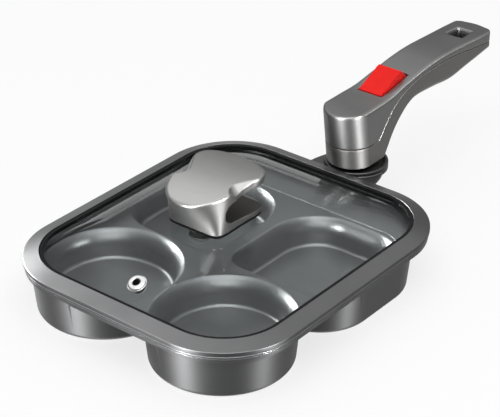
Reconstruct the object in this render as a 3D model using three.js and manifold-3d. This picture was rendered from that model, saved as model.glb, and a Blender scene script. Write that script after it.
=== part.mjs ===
import * as THREE from "three";
import { mergeVertices, toCreasedNormals } from "three/addons/utils/BufferGeometryUtils.js";
import Module from "manifold-3d";

// Clearances
const FIT_GAP = 0.3;
const RUN_GAP = 0.5;

// Plan of the lid, which the pan rim follows
const LID_HALF_WIDTH = 110;
const LID_HALF_LENGTH = 125.8;
const LID_CORNER_RADIUS = 56.7;
const CORNER_STEPS = 7;

// Pan: rim, deck and tray
const RIM_SETBACK = 0.5;
const RIM_BOTTOM_Z = 31.6;
const RIM_TOP_Z = 36.9;
const RIM_BEAD_HEIGHT = 1.5;
const RIM_GROOVE_DEPTH = 0.8;
const RIM_GROOVE_HEIGHT = 0.4;
const DECK_Z = 30;
const DECK_THICKNESS = 2.4;
const DECK_INSET = 5.5;
const TRAY_INSET = 4.4;
const TRAY_LEDGE_Z = 33.6;
const TRAY_FLOOR_INSET = 8;
const APRON_LENGTH = 39.6;
const APRON_CORNER = 34;
const CREASE_STEP = 0.8;
const CREASE_RUN = 0.4;

// Pan: wells inside and cups outside
const WELL_FLOOR_Z = 8.5;
const WELL_FLOOR_FILLET = 3;
const LIP_WIDTH = 2.6;
const LIP_DROP = 4;
const CUP_EDGE_ROUND = 4.4;
const CUP_DRAFT = 0.1;
const WELL_DRAFT = 0.3;
const ROUND_WELL_RADIUS = 47.6;
const ROUND_WELL_SIDE_INSET = 12;
const ROUND_WELL_END_INSET = 12;
const ROUND_CUP_RADIUS = 49.6;
const ROUND_CUP_SHIFT = new THREE.Vector2(1, -3.8);
const SQUARE_WELL_DIVIDER = 7.5;
const SQUARE_WELL_SIDE_INSET = 9.5;
const SQUARE_WELL_NEAR_Y = -11.5;
const SQUARE_WELL_END_INSET = 44.8;
const SQUARE_WELL_DRAFT = 0.2;
const SQUARE_WELL_RADII = [38, 34, 36, 14];
const SQUARE_CUP_DIVIDER = 1.8;
const SQUARE_CUP_SIDE_INSET = 7;
const SQUARE_CUP_NEAR_Y = -19;
const SQUARE_CUP_END_INSET = 27.5;
const SQUARE_CUP_RADIUS = 40;

// Cast lug under the rim that carries the handle seat
const LUG_HALF_WIDTH = 29;
const LUG_BOTTOM_Z = 8;
const LUG_THICKNESS = 9;
const LUG_FACE_INSET = 4.3;
const LUG_RIB_X = 18;
const LUG_RIB_WIDTH = 6;
const LUG_RIB_LENGTH = 34;

// Handle seat: bracket, screws and liner
const SEAT_CLEARANCE = 0.5;
const SEAT_RADIUS = 24.2;
const SEAT_WALL = 2.2;
const SEAT_TOP_Z = 39.2;
const SEAT_FLOOR_Z = 35.5;
const SEAT_FLOOR_THICKNESS = 2.5;
const SEAT_SKIRT_Z = 27.6;
const NECK_RADIUS = 19.8;
const NECK_HALF_WIDTH = 26;
const BRACKET_SHELF_Z = 36;
const BRACKET_PLATE_THICKNESS = 5;
const BRACKET_PLATE_BOTTOM_Z = 9;
const BRACKET_SCREW_X = 18;
const BRACKET_SCREW_Z = 17;
const BRACKET_SCREW_RADIUS = 2.4;
const BRACKET_SCREW_HEAD_RADIUS = 5;
const BRACKET_SCREW_HEAD_HEIGHT = 3;
const BRACKET_SCREW_LENGTH = 13;
const LINER_FLOOR = 0.8;
const LINER_WALL = 1.1;
const LINER_LEDGE = 4;

// Swivel: hub, pivot bolt, nut and washer
const HUB_DISC_HEIGHT = 1.4;
const HUB_NECK_RADIUS = 14.4;
const PIVOT_RADIUS = 4;
const PIVOT_HEAD_RADIUS = 7;
const PIVOT_HEAD_HEIGHT = 3.2;
const PIVOT_WASHER_RADIUS = 8.6;
const PIVOT_WASHER_THICKNESS = 0.8;
const NUT_RADIUS = 7.5;
const NUT_HEIGHT = 6;
const SWING_LIMIT_DEG = 150;

// Handle, measured from the swivel axis (y) and from the barrel's bottom or top (z)
const BARREL_BOTTOM_Z = 42.2;
const BARREL_HEIGHT = 45;
const BARREL_FRONT = 24.8;
const BARREL_BACK = 10.6;
const BARREL_LEAN = 0.148;
const BARREL_ROUND = 12.5;
const BARREL_ROUND_RISE = 0.12;
const BARREL_SQUARENESS = 2.2;
const HANDLE_HALF_WIDTH = 17.3;
const HANDLE_TIP_Y = 160.5;
const TIP_HALF_WIDTH = 18;
const TIP_CORNER = 9;
const TIP_BOW = 1.8;
const TOP_EDGE_ROUND = 2.6;
const GRIP_EDGE_ROUND = 6.5;
const BARREL_EDGE_ROUND = 1.2;
const PARTING_HEIGHT = 17;
const PARTING_GAP = 0.3;
const SHELL_WALL = 3.9;

// Handle: hang hole near the tip
const HANG_HOLE_SETBACK = 24.6;
const HANG_HOLE_HALF_WIDTH = 5.5;
const HANG_HOLE_HALF_LENGTH = 6.6;
const HANG_HOLE_CORNER = 2;
const HANG_HOLE_CHAMFER = 2.2;

// Handle: shell screws
const SHELL_SCREW_Y = [66, 112];
const SHELL_SCREW_RADIUS = 1.6;
const SHELL_SCREW_HEAD_RADIUS = 3.2;
const SHELL_SCREW_HEAD_HEIGHT = 2.4;
const SHELL_SCREW_SEAT_DROP = 9;
const SHELL_SCREW_REACH = 2.4;

// Release button and its lever, measured like the handle
const BUTTON_FRONT_Y = 14.6;
const BUTTON_CREST_Y = 40.2;
const BUTTON_REAR_Y = 47.8;
const BUTTON_CREST_RISE = 13;
const BUTTON_REAR_RISE = 6.2;
const BUTTON_HALF_WIDTH = 10.1;
const BUTTON_DEPTH = 6.5;
const BUTTON_EDGE = 0.7;
const BUTTON_SLOT_SIDE = 0.6;
const BUTTON_SLOT_REAR = 1.9;
const BUTTON_WELL_DROP = 11;
const BUTTON_PIN_Y = 17.5;
const BUTTON_PIN_DROP = 3.7;
const BUTTON_PIN_RADIUS = 1.5;
const BUTTON_PIN_HALF_LENGTH = 14;
const LEVER_HALF_WIDTH = 6.5;
const LEVER_THICKNESS = 4;
const LEVER_TIP_RISE = 7.5;
const LEVER_TIP_OVERHANG = 2;
const LEVER_KNEE_Y = -3;
const LEVER_HEEL = 4;
const LEVER_HEEL_DROP = 3;

// Lock pin and its spring
const LOCK_PIN_SETOFF = 13.5;
const LOCK_PIN_RADIUS = 2.5;
const LOCK_PIN_DEPTH = 2.2;
const LOCK_HEAD_RADIUS = 5;
const LOCK_HEAD_HEIGHT = 2.6;
const LOCK_SPIGOT_RADIUS = 2;
const LOCK_SPIGOT_HEIGHT = 3.5;
const SPRING_RADIUS = 4;
const SPRING_WIRE = 0.5;
const SPRING_TURNS = 3;

// Lid: ring, seal and domed glass
const LID_EDGE_HEIGHT = 3.1;
const LID_EDGE_ROUND = 0.5;
const LID_BAND_WIDTH = 11.7;
const LID_BAND_RISE = 3.5;
const LID_UNDERSIDE_RISE = 3.8;
const LID_SKIRT_INSET = 5.6;
const LID_SKIRT_THICKNESS = 2;
const LID_SKIRT_DEPTH = 2.8;
const SEAL_LEG_HEIGHT = 1;
const SEAL_WALL = 1.2;
const SEAL_DROP = 0.5;
const GLASS_THICKNESS = 3.2;
const GLASS_FLANGE_MARGIN = 0.4;
const DOME_RISE = 22.1;
const DOME_POWER = 2.9;

// Lid: vent eyelet
const VENT_SETBACK = 30.7;
const VENT_FLANGE_RADIUS = 6.4;
const VENT_FLANGE_HEIGHT = 1.2;
const VENT_BARREL_RADIUS = 3.1;
const VENT_BORE_RADIUS = 2.3;
const VENT_BACK_RADIUS = 5.4;
const VENT_BACK_GAP = 0.5;

// Lid knob
const KNOB_SCREW_Y = -29;
const BOSS_RADIUS = 9;
const BOSS_HEIGHT = 1.7;
const PAD_HEIGHT = 1.6;
const PAD_INSET = 0.9;
const KNOB_HEIGHT = 25;
const KNOB_REAR_RISE = 6.6;
const KNOB_EDGE_ROUND = 1.6;
const KNOB_SLOT_RADIUS = 7.8;
const KNOB_SLOT_Y = -24.3;
const KNOB_SLOT_HEIGHT = 13.5;
const KNOB_SLOT_SPREAD = 0.075;
const KNOB_SLOT_LIFT = 0.17;
const KNOB_SCOOP_RADIUS = 12;
const KNOB_SCOOP_Y = -16.5;
const KNOB_SCOOP_X = 22;
const KNOB_SCOOP_LIFT = 9;
const KNOB_SCOOP_LENGTH = 44;
const KNOB_SCOOP_SPLAY = 0.4;
const KNOB_SCOOP_CLIMB = 0.18;
const KNOB_SCREW_RADIUS = 2.4;
const KNOB_SCREW_HEAD_RADIUS = 6.2;
const KNOB_SCREW_HEAD_HEIGHT = 3;
const KNOB_SCREW_BITE = 4;
const KNOB_WASHER_THICKNESS = 1.4;

// Levels and places that follow from the sizes above
const LID_BOTTOM_Z = RIM_TOP_Z + FIT_GAP;
const LID_UNDERSIDE_Z = LID_BOTTOM_Z + LID_UNDERSIDE_RISE;
const SEAL_BOTTOM_Z = LID_UNDERSIDE_Z - FIT_GAP - SEAL_LEG_HEIGHT;
const GLASS_EDGE_Z = SEAL_BOTTOM_Z - FIT_GAP;
const DOME_APEX_Z = GLASS_EDGE_Z + DOME_RISE;
const SEAL_OUTER_INSET = LID_SKIRT_INSET + LID_SKIRT_THICKNESS + FIT_GAP;
const SEAL_INNER_INSET = LID_BAND_WIDTH + FIT_GAP + SEAL_WALL;
const DOME_INSET = SEAL_INNER_INSET + GLASS_FLANGE_MARGIN;
const DOME_HALF_LENGTH = LID_HALF_LENGTH - DOME_INSET;
const VENT_Y = VENT_SETBACK - LID_HALF_LENGTH;
const BOSS_BOTTOM_Z = DOME_APEX_Z + 0.1;
const PAD_BOTTOM_Z = BOSS_BOTTOM_Z + BOSS_HEIGHT + FIT_GAP;
const KNOB_BASE_Z = PAD_BOTTOM_Z + PAD_HEIGHT + FIT_GAP;
const ROUND_WELL_X = LID_HALF_WIDTH - ROUND_WELL_SIDE_INSET - ROUND_WELL_RADIUS;
const ROUND_WELL_Y = ROUND_WELL_END_INSET + ROUND_WELL_RADIUS - LID_HALF_LENGTH;
const CREASE_Y = LID_HALF_LENGTH - APRON_LENGTH;
const LUG_FACE_Y = LID_HALF_LENGTH - LUG_FACE_INSET;
const PLATE_BACK_Y = LUG_FACE_Y + FIT_GAP;
const PLATE_FRONT_Y = PLATE_BACK_Y + BRACKET_PLATE_THICKNESS;
const SEAT_Y = LID_HALF_LENGTH + SEAT_CLEARANCE + SEAT_RADIUS;
const LINER_BOTTOM_Z = SEAT_FLOOR_Z + FIT_GAP;
const HUB_BOTTOM_Z = LINER_BOTTOM_Z + LINER_FLOOR + FIT_GAP;
const LINER_OUTER_RADIUS = SEAT_RADIUS - SEAT_WALL - FIT_GAP;
const LINER_INNER_RADIUS = LINER_OUTER_RADIUS - LINER_WALL;
const GRIP_Z = BARREL_BOTTOM_Z + BARREL_HEIGHT;
const PARTING_Z = BARREL_BOTTOM_Z + PARTING_HEIGHT;
const BUTTON_PIN_Z = GRIP_Z - BUTTON_PIN_DROP;
const LEVER_TOP_Z = PARTING_Z + LEVER_TIP_RISE + LEVER_THICKNESS;
const LOCK_HEAD_Z = LEVER_TOP_Z + FIT_GAP;
const LOCK_PIN_TIP_Z = SEAT_FLOOR_Z - LOCK_PIN_DEPTH;
const SPRING_TOP_Z = GRIP_Z - SHELL_WALL - FIT_GAP;
const SPRING_BOTTOM_Z = LOCK_HEAD_Z + LOCK_HEAD_HEIGHT + FIT_GAP;
const NUT_TOP_Z = PARTING_Z - 2;

const wasm = await Module();
wasm.setup();

const v2 = (x, y) => new THREE.Vector2(x, y);
const v3 = (x, y, z) => new THREE.Vector3(x, y, z);

// A geometry as a solid for joining and cutting.
function solid(geometry) {
  const source = geometry.index ? geometry.toNonIndexed() : geometry;
  const bare = new THREE.BufferGeometry();
  bare.setAttribute("position", source.getAttribute("position").clone());
  const merged = mergeVertices(bare, 1e-4);
  const index = [];
  for (let i = 0; i < merged.index.count; i += 3) {
    const [a, b, c] = [0, 1, 2].map((k) => merged.index.getX(i + k));
    if (a !== b && b !== c && c !== a) {
      index.push(a, b, c);
    }
  }
  return new wasm.Manifold(new wasm.Mesh({
    numProp: 3,
    vertProperties: Float32Array.from(merged.getAttribute("position").array),
    triVerts: Uint32Array.from(index),
  }));
}

// A solid as a geometry with creased normals.
function shown(made) {
  const mesh = made.getMesh();
  const geometry = new THREE.BufferGeometry();
  const count = mesh.vertProperties.length / mesh.numProp;
  const points = new Float32Array(count * 3);
  for (let i = 0; i < count; i++) {
    for (let k = 0; k < 3; k++) {
      points[i * 3 + k] = mesh.vertProperties[i * mesh.numProp + k];
    }
  }
  geometry.setAttribute("position", new THREE.BufferAttribute(points, 3));
  geometry.setIndex(Array.from(mesh.triVerts));
  return toCreasedNormals(geometry, 0.6);
}

const join = (...geometries) => geometries.map(solid).reduce((a, b) => a.add(b));
const cut = (made, ...geometries) => geometries.map(solid).reduce((a, b) => a.subtract(b), made);

// A geometry from shared points and triangles.
function indexed(points, index) {
  const geometry = new THREE.BufferGeometry();
  geometry.setFromPoints(points);
  geometry.setIndex(index);
  return geometry;
}

// A body through rings of equal point count, each ring closed, with a fan cap at either end.
function loft(rings) {
  const count = rings[0].length;
  const points = rings.flat();
  const index = [];
  for (let r = 0; r + 1 < rings.length; r++) {
    for (let i = 0; i < count; i++) {
      const a = r * count + i;
      const b = r * count + (i + 1) % count;
      index.push(a, b, b + count, a, b + count, a + count);
    }
  }
  const centre = (ring) => ring.reduce((sum, p) => sum.add(p), v3(0, 0, 0)).divideScalar(count);
  const last = (rings.length - 1) * count;
  points.push(centre(rings[0]), centre(rings[rings.length - 1]));
  for (let i = 0; i < count; i++) {
    const next = (i + 1) % count;
    index.push(points.length - 2, next, i);
    index.push(points.length - 1, last + i, last + next);
  }
  return indexed(points, index);
}

// A closed band: every ring joined to the next and the last to the first.
function band(rings) {
  const count = rings[0].length;
  const index = [];
  rings.forEach((ring, r) => {
    const above = ((r + 1) % rings.length) * count;
    for (let i = 0; i < count; i++) {
      const next = (i + 1) % count;
      index.push(r * count + i, r * count + next, above + next);
      index.push(r * count + i, above + next, above + i);
    }
  });
  return indexed(rings.flat(), index);
}

// A rounded rectangle, counter-clockwise; radii run from the right near corner.
function roundedRing(x0, x1, y0, y1, radii, z) {
  const limit = Math.min(x1 - x0, y1 - y0) / 2 - 0.05;
  const [a, b, c, d] = radii.map((r) => THREE.MathUtils.clamp(r, 0.4, limit));
  const corners = [
    [x1 - a, y0 + a, a, -0.5],
    [x1 - b, y1 - b, b, 0],
    [x0 + c, y1 - c, c, 0.5],
    [x0 + d, y0 + d, d, 1],
  ];
  return corners.flatMap(([x, y, r, start]) =>
    Array.from({ length: CORNER_STEPS + 1 }, (_, i) => {
      const angle = Math.PI * (start + 0.5 * i / CORNER_STEPS);
      return v3(x + r * Math.cos(angle), y + r * Math.sin(angle), z);
    }));
}

// The lid's plan, drawn in by an inset.
function lidRing(inset, z) {
  const x = LID_HALF_WIDTH - inset;
  const y = LID_HALF_LENGTH - inset;
  const r = LID_CORNER_RADIUS - inset;
  return roundedRing(-x, x, -y, y, [r, r, r, r], z);
}

// A turned body about a vertical line through (x, y); the profile holds radius and height.
function turned(profile, x, y, segments) {
  const geometry = new THREE.LatheGeometry(profile.map(([r, z]) => v2(r, z)), segments);
  geometry.rotateX(Math.PI / 2);
  geometry.translate(x, y, 0);
  return geometry;
}

const rod = (radius, z0, z1, x, y, segments = 16) =>
  turned([[0, z0], [radius, z0], [radius, z1], [0, z1]], x, y, segments);

const tube = (inner, outer, z0, z1, x, y, segments = 16) =>
  turned([[inner, z0], [outer, z0], [outer, z1], [inner, z1], [inner, z0]], x, y, segments);

function block(x0, x1, y0, y1, z0, z1) {
  const geometry = new THREE.BoxGeometry(x1 - x0, y1 - y0, z1 - z0);
  geometry.translate((x0 + x1) / 2, (y0 + y1) / 2, (z0 + z1) / 2);
  return geometry;
}

// A plan shape raised between two levels.
function raised(shape, z0, z1, curveSegments = 12) {
  const geometry = new THREE.ExtrudeGeometry(shape, { depth: z1 - z0, bevelEnabled: false, curveSegments });
  geometry.translate(0, 0, z0);
  return geometry;
}

// A side profile in (y, z), drawn out to both sides of the middle plane.
function sidewise(shape, halfWidth, edge = 0, curveSegments = 10) {
  const geometry = new THREE.ExtrudeGeometry(shape, {
    depth: 2 * (halfWidth - edge),
    bevelEnabled: edge > 0,
    bevelSize: edge,
    bevelThickness: edge,
    bevelOffset: -edge,
    bevelSegments: 2,
    curveSegments,
  });
  geometry.translate(0, 0, edge - halfWidth);
  geometry.applyMatrix4(new THREE.Matrix4().makeBasis(v3(0, 1, 0), v3(0, 0, 1), v3(1, 0, 0)));
  return geometry;
}

function mirrored(geometry) {
  const flipped = geometry.index ? geometry.toNonIndexed() : geometry.clone();
  flipped.scale(-1, 1, 1);
  const p = flipped.getAttribute("position");
  for (let i = 0; i < p.count; i += 3) {
    const a = v3().fromBufferAttribute(p, i + 1);
    const b = v3().fromBufferAttribute(p, i + 2);
    p.setXYZ(i + 1, b.x, b.y, b.z);
    p.setXYZ(i + 2, a.x, a.y, a.z);
  }
  return flipped;
}

const bothSides = (geometry) => [geometry, mirrored(geometry)];

// Heights along a curve that runs steadily in y.
function heightOn(curve, y) {
  let low = 0;
  let high = 1;
  for (let i = 0; i < 40; i++) {
    const middle = (low + high) / 2;
    if (curve.getPoint(middle).x < y) {
      low = middle;
    } else {
      high = middle;
    }
  }
  return curve.getPoint(low).y;
}

// Quarter round from one level and inset to another, as [inset, z] pairs.
function quarter(inset, z, size, steps, from) {
  return Array.from({ length: steps + 1 }, (_, i) => {
    const angle = from + Math.PI / 2 * i / steps;
    return [inset + size * Math.cos(angle), z + size * Math.sin(angle)];
  });
}

const group = new THREE.Group();
group.name = "divided_breakfast_pan";

function add(name, made, color, metalness, roughness, extra = {}) {
  const geometry = made.isBufferGeometry ? made : shown(made);
  if (made.isBufferGeometry) {
    geometry.deleteAttribute("uv");
    geometry.computeVertexNormals();
  }
  const material = new THREE.MeshStandardMaterial({ color, metalness, roughness, ...extra });
  const mesh = new THREE.Mesh(geometry, material);
  mesh.name = name;
  group.add(mesh);
}

const CAST = [0x4c4c4d, 0.8, 0.45];
const SATIN = [0x9a9a9a, 0.7, 0.35];
const STEEL = [0xb4b4b2, 1, 0.3];
const BLACK = [0x171717, 0, 0.6];

// Pan body: rim, deck, four cups with their wells, and the lug for the handle seat.
const rimLevels = [
  [2.4, RIM_BOTTOM_Z],
  [0.5, RIM_BOTTOM_Z + 0.8],
  [0.2, RIM_TOP_Z - RIM_BEAD_HEIGHT - RIM_GROOVE_HEIGHT],
  [RIM_GROOVE_DEPTH, RIM_TOP_Z - RIM_BEAD_HEIGHT - RIM_GROOVE_HEIGHT + 0.1],
  [RIM_GROOVE_DEPTH, RIM_TOP_Z - RIM_BEAD_HEIGHT - 0.1],
  [0, RIM_TOP_Z - RIM_BEAD_HEIGHT],
  [0, RIM_TOP_Z - 0.3],
  [0.4, RIM_TOP_Z],
];
const rim = loft(rimLevels.map(([inset, z]) => lidRing(RIM_SETBACK + inset, z)));
const deck = loft([
  lidRing(DECK_INSET, DECK_Z - DECK_THICKNESS),
  lidRing(DECK_INSET - 0.6, RIM_BOTTOM_Z + 0.4),
]);

// Cup wall from its rounded bottom edge up to the rim, as [inset, z].
const cupLevels = [
  ...quarter(CUP_EDGE_ROUND, CUP_EDGE_ROUND, -CUP_EDGE_ROUND, 2, 0).reverse(),
  [-CUP_DRAFT * (RIM_BOTTOM_Z - CUP_EDGE_ROUND), RIM_BOTTOM_Z + 0.2],
];
const roundCup = turned(
  [[0, 0], ...cupLevels.map(([inset, z]) => [ROUND_CUP_RADIUS - inset, z]), [0, RIM_BOTTOM_Z + 0.2]],
  ROUND_WELL_X + ROUND_CUP_SHIFT.x, ROUND_WELL_Y + ROUND_CUP_SHIFT.y, 32);
const squareCup = loft(cupLevels.map(([inset, z]) => roundedRing(
  SQUARE_CUP_DIVIDER + inset, LID_HALF_WIDTH - SQUARE_CUP_SIDE_INSET - inset,
  SQUARE_CUP_NEAR_Y + inset, LID_HALF_LENGTH - SQUARE_CUP_END_INSET - inset,
  Array(4).fill(SQUARE_CUP_RADIUS - inset), z)));

// Well wall from the floor fillet up to the rounded lip, as [inset from the lip, z].
function wellLevels(draft) {
  const floorInset = draft * (DECK_Z - LIP_DROP - WELL_FLOOR_Z - WELL_FLOOR_FILLET);
  const fillet = quarter(floorInset + WELL_FLOOR_FILLET, WELL_FLOOR_Z + WELL_FLOOR_FILLET,
    -WELL_FLOOR_FILLET, 2, 0).reverse();
  const lip = quarter(0, 0, 1, 3, 0).map(([x, z]) => [LIP_WIDTH * (x - 1), DECK_Z + LIP_DROP * (z - 1)]);
  return [...fillet, ...lip, [-LIP_WIDTH, DECK_Z + 1]];
}
const roundLevels = wellLevels(WELL_DRAFT);
const roundWell = turned(
  [[0, WELL_FLOOR_Z], ...roundLevels.map(([inset, z]) => [ROUND_WELL_RADIUS - inset, z]), [0, DECK_Z + 1]],
  ROUND_WELL_X, ROUND_WELL_Y, 32);
const squareWell = loft(wellLevels(SQUARE_WELL_DRAFT).map(([inset, z]) => roundedRing(
  SQUARE_WELL_DIVIDER + inset, LID_HALF_WIDTH - SQUARE_WELL_SIDE_INSET - inset,
  SQUARE_WELL_NEAR_Y + inset, LID_HALF_LENGTH - SQUARE_WELL_END_INSET - inset,
  SQUARE_WELL_RADII.map((r) => r - inset), z)));

// Tray above the wells; its handle end is a long sloped apron down to a small step at the crease.
const trayX = LID_HALF_WIDTH - TRAY_FLOOR_INSET;
const trayNear = TRAY_FLOOR_INSET - LID_HALF_LENGTH;
const trayCorner = LID_CORNER_RADIUS - TRAY_FLOOR_INSET;
const trayFloor = (grow, z) => roundedRing(-trayX - grow, trayX + grow, trayNear - grow, CREASE_Y + grow,
  [trayCorner, APRON_CORNER, APRON_CORNER, trayCorner].map((r) => r + grow), z);
const tray = loft([
  trayFloor(0, DECK_Z),
  trayFloor(CREASE_RUN, DECK_Z + CREASE_STEP),
  lidRing(TRAY_INSET + 0.6, TRAY_LEDGE_Z),
  lidRing(TRAY_INSET, RIM_TOP_Z + 1),
]);

const lug = block(-LUG_HALF_WIDTH, LUG_HALF_WIDTH, LUG_FACE_Y - LUG_THICKNESS, LUG_FACE_Y,
  LUG_BOTTOM_Z, RIM_BOTTOM_Z + 0.5);
const ribs = bothSides(block(LUG_RIB_X - LUG_RIB_WIDTH / 2, LUG_RIB_X + LUG_RIB_WIDTH / 2,
  LUG_FACE_Y - LUG_THICKNESS - LUG_RIB_LENGTH, LUG_FACE_Y - LUG_THICKNESS + 1,
  LUG_BOTTOM_Z + 2, DECK_Z - DECK_THICKNESS + 1));
function lyingRod(radius, y0, y1, x, z, segments = 16) {
  const geometry = rod(radius, y0, y1, 0, 0, segments);
  geometry.rotateX(-Math.PI / 2);
  geometry.translate(x, 0, z);
  return geometry;
}
const screwTip = PLATE_FRONT_Y - BRACKET_SCREW_LENGTH;
const lugBores = bothSides(lyingRod(BRACKET_SCREW_RADIUS + FIT_GAP, screwTip - FIT_GAP, LUG_FACE_Y + 1,
  BRACKET_SCREW_X, BRACKET_SCREW_Z));
const panOuter = join(rim, deck, ...bothSides(roundCup), ...bothSides(squareCup), lug, ...ribs);
const panHollows = [tray, ...bothSides(roundWell), ...bothSides(squareWell), ...lugBores];
add("pan_body", cut(panOuter, ...panHollows), ...CAST);

// Handle seat: plate against the lug, shelf under the lid's edge and a round cup.
const plate = block(-LUG_HALF_WIDTH, LUG_HALF_WIDTH, PLATE_BACK_Y, PLATE_FRONT_Y,
  BRACKET_PLATE_BOTTOM_Z, RIM_BOTTOM_Z - FIT_GAP);
const shelfNear = LID_HALF_LENGTH + FIT_GAP - RIM_SETBACK;
const shelfShape = new THREE.Shape();
shelfShape.moveTo(-LUG_HALF_WIDTH, shelfNear);
shelfShape.lineTo(LUG_HALF_WIDTH, shelfNear);
shelfShape.lineTo(LUG_HALF_WIDTH, shelfNear + 6);
shelfShape.quadraticCurveTo(LUG_HALF_WIDTH - 1, SEAT_Y - 8, SEAT_RADIUS, SEAT_Y);
shelfShape.absarc(0, SEAT_Y, SEAT_RADIUS, 0, Math.PI, false);
shelfShape.quadraticCurveTo(1 - LUG_HALF_WIDTH, SEAT_Y - 8, -LUG_HALF_WIDTH, shelfNear + 6);
const shelf = raised(shelfShape, SEAT_FLOOR_Z - SEAT_FLOOR_THICKNESS, BRACKET_SHELF_Z, 8);
const neckShape = new THREE.Shape();
neckShape.moveTo(-NECK_HALF_WIDTH, shelfNear);
neckShape.lineTo(NECK_HALF_WIDTH, shelfNear);
neckShape.lineTo(NECK_RADIUS, SEAT_Y);
neckShape.absarc(0, SEAT_Y, NECK_RADIUS, 0, Math.PI, false);
const neck = raised(neckShape, SEAT_SKIRT_Z, SEAT_FLOOR_Z - SEAT_FLOOR_THICKNESS + 0.2, 8);
const cupWall = turned([
  [0, SEAT_FLOOR_Z - SEAT_FLOOR_THICKNESS],
  [SEAT_RADIUS, SEAT_FLOOR_Z - SEAT_FLOOR_THICKNESS],
  [SEAT_RADIUS, SEAT_TOP_Z - 0.6],
  [SEAT_RADIUS - 0.6, SEAT_TOP_Z],
  [0, SEAT_TOP_Z],
], 0, SEAT_Y, 28);
const recess = rod(SEAT_RADIUS - SEAT_WALL, SEAT_FLOOR_Z, SEAT_TOP_Z + 1, 0, SEAT_Y, 28);
const trackReach = LOCK_PIN_RADIUS + RUN_GAP;
const hollowRadius = LOCK_PIN_SETOFF + trackReach + 0.6;
const hollow = rod(hollowRadius, SEAT_SKIRT_Z - 1, SEAT_FLOOR_Z - SEAT_FLOOR_THICKNESS, 0, SEAT_Y, 24);
const pivotHole = rod(PIVOT_RADIUS + RUN_GAP, SEAT_SKIRT_Z - 1, SEAT_TOP_Z, 0, SEAT_Y, 20);

// Curved track for the lock pin, from the working position to the swing limit.
const swing = THREE.MathUtils.degToRad(SWING_LIMIT_DEG);
const trackStart = -Math.PI / 2;
const spot = (angle) => v2(LOCK_PIN_SETOFF * Math.cos(angle), SEAT_Y + LOCK_PIN_SETOFF * Math.sin(angle));
const trackShape = new THREE.Shape();
trackShape.absarc(0, SEAT_Y, LOCK_PIN_SETOFF + trackReach, trackStart, trackStart + swing, false);
trackShape.absarc(spot(trackStart + swing).x, spot(trackStart + swing).y, trackReach,
  trackStart + swing, trackStart + swing + Math.PI, false);
trackShape.absarc(0, SEAT_Y, LOCK_PIN_SETOFF - trackReach, trackStart + swing, trackStart, true);
trackShape.absarc(spot(trackStart).x, spot(trackStart).y, trackReach,
  trackStart + Math.PI, trackStart + 2 * Math.PI, false);
const track = raised(trackShape, SEAT_SKIRT_Z - 1, SEAT_FLOOR_Z + 0.5, 8);
const plateBores = bothSides(lyingRod(BRACKET_SCREW_RADIUS + FIT_GAP, PLATE_BACK_Y - 1, PLATE_FRONT_Y + 1,
  BRACKET_SCREW_X, BRACKET_SCREW_Z));
const seat = join(plate, shelf, neck, cupWall);
add("handle_bracket", cut(seat, recess, hollow, pivotHole, track, ...plateBores), ...CAST);

for (const [side, x] of [["right", BRACKET_SCREW_X], ["left", -BRACKET_SCREW_X]]) {
  const headBack = PLATE_FRONT_Y + FIT_GAP;
  const headFront = headBack + BRACKET_SCREW_HEAD_HEIGHT;
  const profile = [
    [0, -headFront],
    [BRACKET_SCREW_HEAD_RADIUS - 1.2, -headFront],
    [BRACKET_SCREW_HEAD_RADIUS, -headFront + 1.4],
    [BRACKET_SCREW_HEAD_RADIUS, -headBack],
    [BRACKET_SCREW_RADIUS, -headBack],
    [BRACKET_SCREW_RADIUS, -screwTip],
    [0, -screwTip],
  ];
  const screw = turned(profile, 0, 0, 14);
  screw.rotateX(Math.PI / 2);
  screw.translate(x, 0, BRACKET_SCREW_Z);
  const socket = lyingRod(2, headFront - 1.6, headFront + 1, x, BRACKET_SCREW_Z, 6);
  add(`bracket_screw_${side}`, cut(solid(screw), socket), ...STEEL);
}

// Black liner that the hub turns in.
add("seat_liner", solid(turned([
  [LINER_INNER_RADIUS - LINER_LEDGE + LINER_WALL, LINER_BOTTOM_Z],
  [LINER_OUTER_RADIUS, LINER_BOTTOM_Z],
  [LINER_OUTER_RADIUS, SEAT_TOP_Z - 0.4],
  [LINER_INNER_RADIUS, SEAT_TOP_Z - 0.4],
  [LINER_INNER_RADIUS, LINER_BOTTOM_Z + LINER_FLOOR],
  [LINER_INNER_RADIUS - LINER_LEDGE + LINER_WALL, LINER_BOTTOM_Z + LINER_FLOOR],
  [LINER_INNER_RADIUS - LINER_LEDGE + LINER_WALL, LINER_BOTTOM_Z],
], 0, SEAT_Y, 24)), ...BLACK);

// Handle body before it is parted: lofted sections trimmed by a plan outline.
const topCurve = new THREE.SplineCurve([
  v2(-40, GRIP_Z - 0.4), v2(-20, GRIP_Z + 0.8), v2(0, GRIP_Z + 1.2), v2(19.5, GRIP_Z + 2),
  v2(39.5, GRIP_Z + 5.4), v2(64.5, GRIP_Z + 9), v2(89.5, GRIP_Z + 10.4), v2(124.5, GRIP_Z + 9.1),
  v2(HANDLE_TIP_Y + 6, GRIP_Z + 7),
]);
const underCurve = new THREE.SplineCurve([
  v2(BARREL_BACK - 9, BARREL_BOTTOM_Z - 14), v2(BARREL_BACK, BARREL_BOTTOM_Z), v2(22, GRIP_Z - 29.5),
  v2(32.5, GRIP_Z - 21.2), v2(44, GRIP_Z - 15.4), v2(55, GRIP_Z - 12.9), v2(78, GRIP_Z - 13.8),
  v2(101, GRIP_Z - 15.6), v2(125, GRIP_Z - 12.2), v2(HANDLE_TIP_Y + 6, GRIP_Z - 6.4),
]);
const partingCurve = [
  v2(16.5, GRIP_Z - 12.4), v2(29.5, GRIP_Z - 3.5), v2(42.5, GRIP_Z + 1.1), v2(58.5, GRIP_Z + 4.3),
  v2(93.5, GRIP_Z + 5.1), v2(130.5, GRIP_Z + 1.8), v2(HANDLE_TIP_Y + 8, GRIP_Z - 2.4),
];
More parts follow.
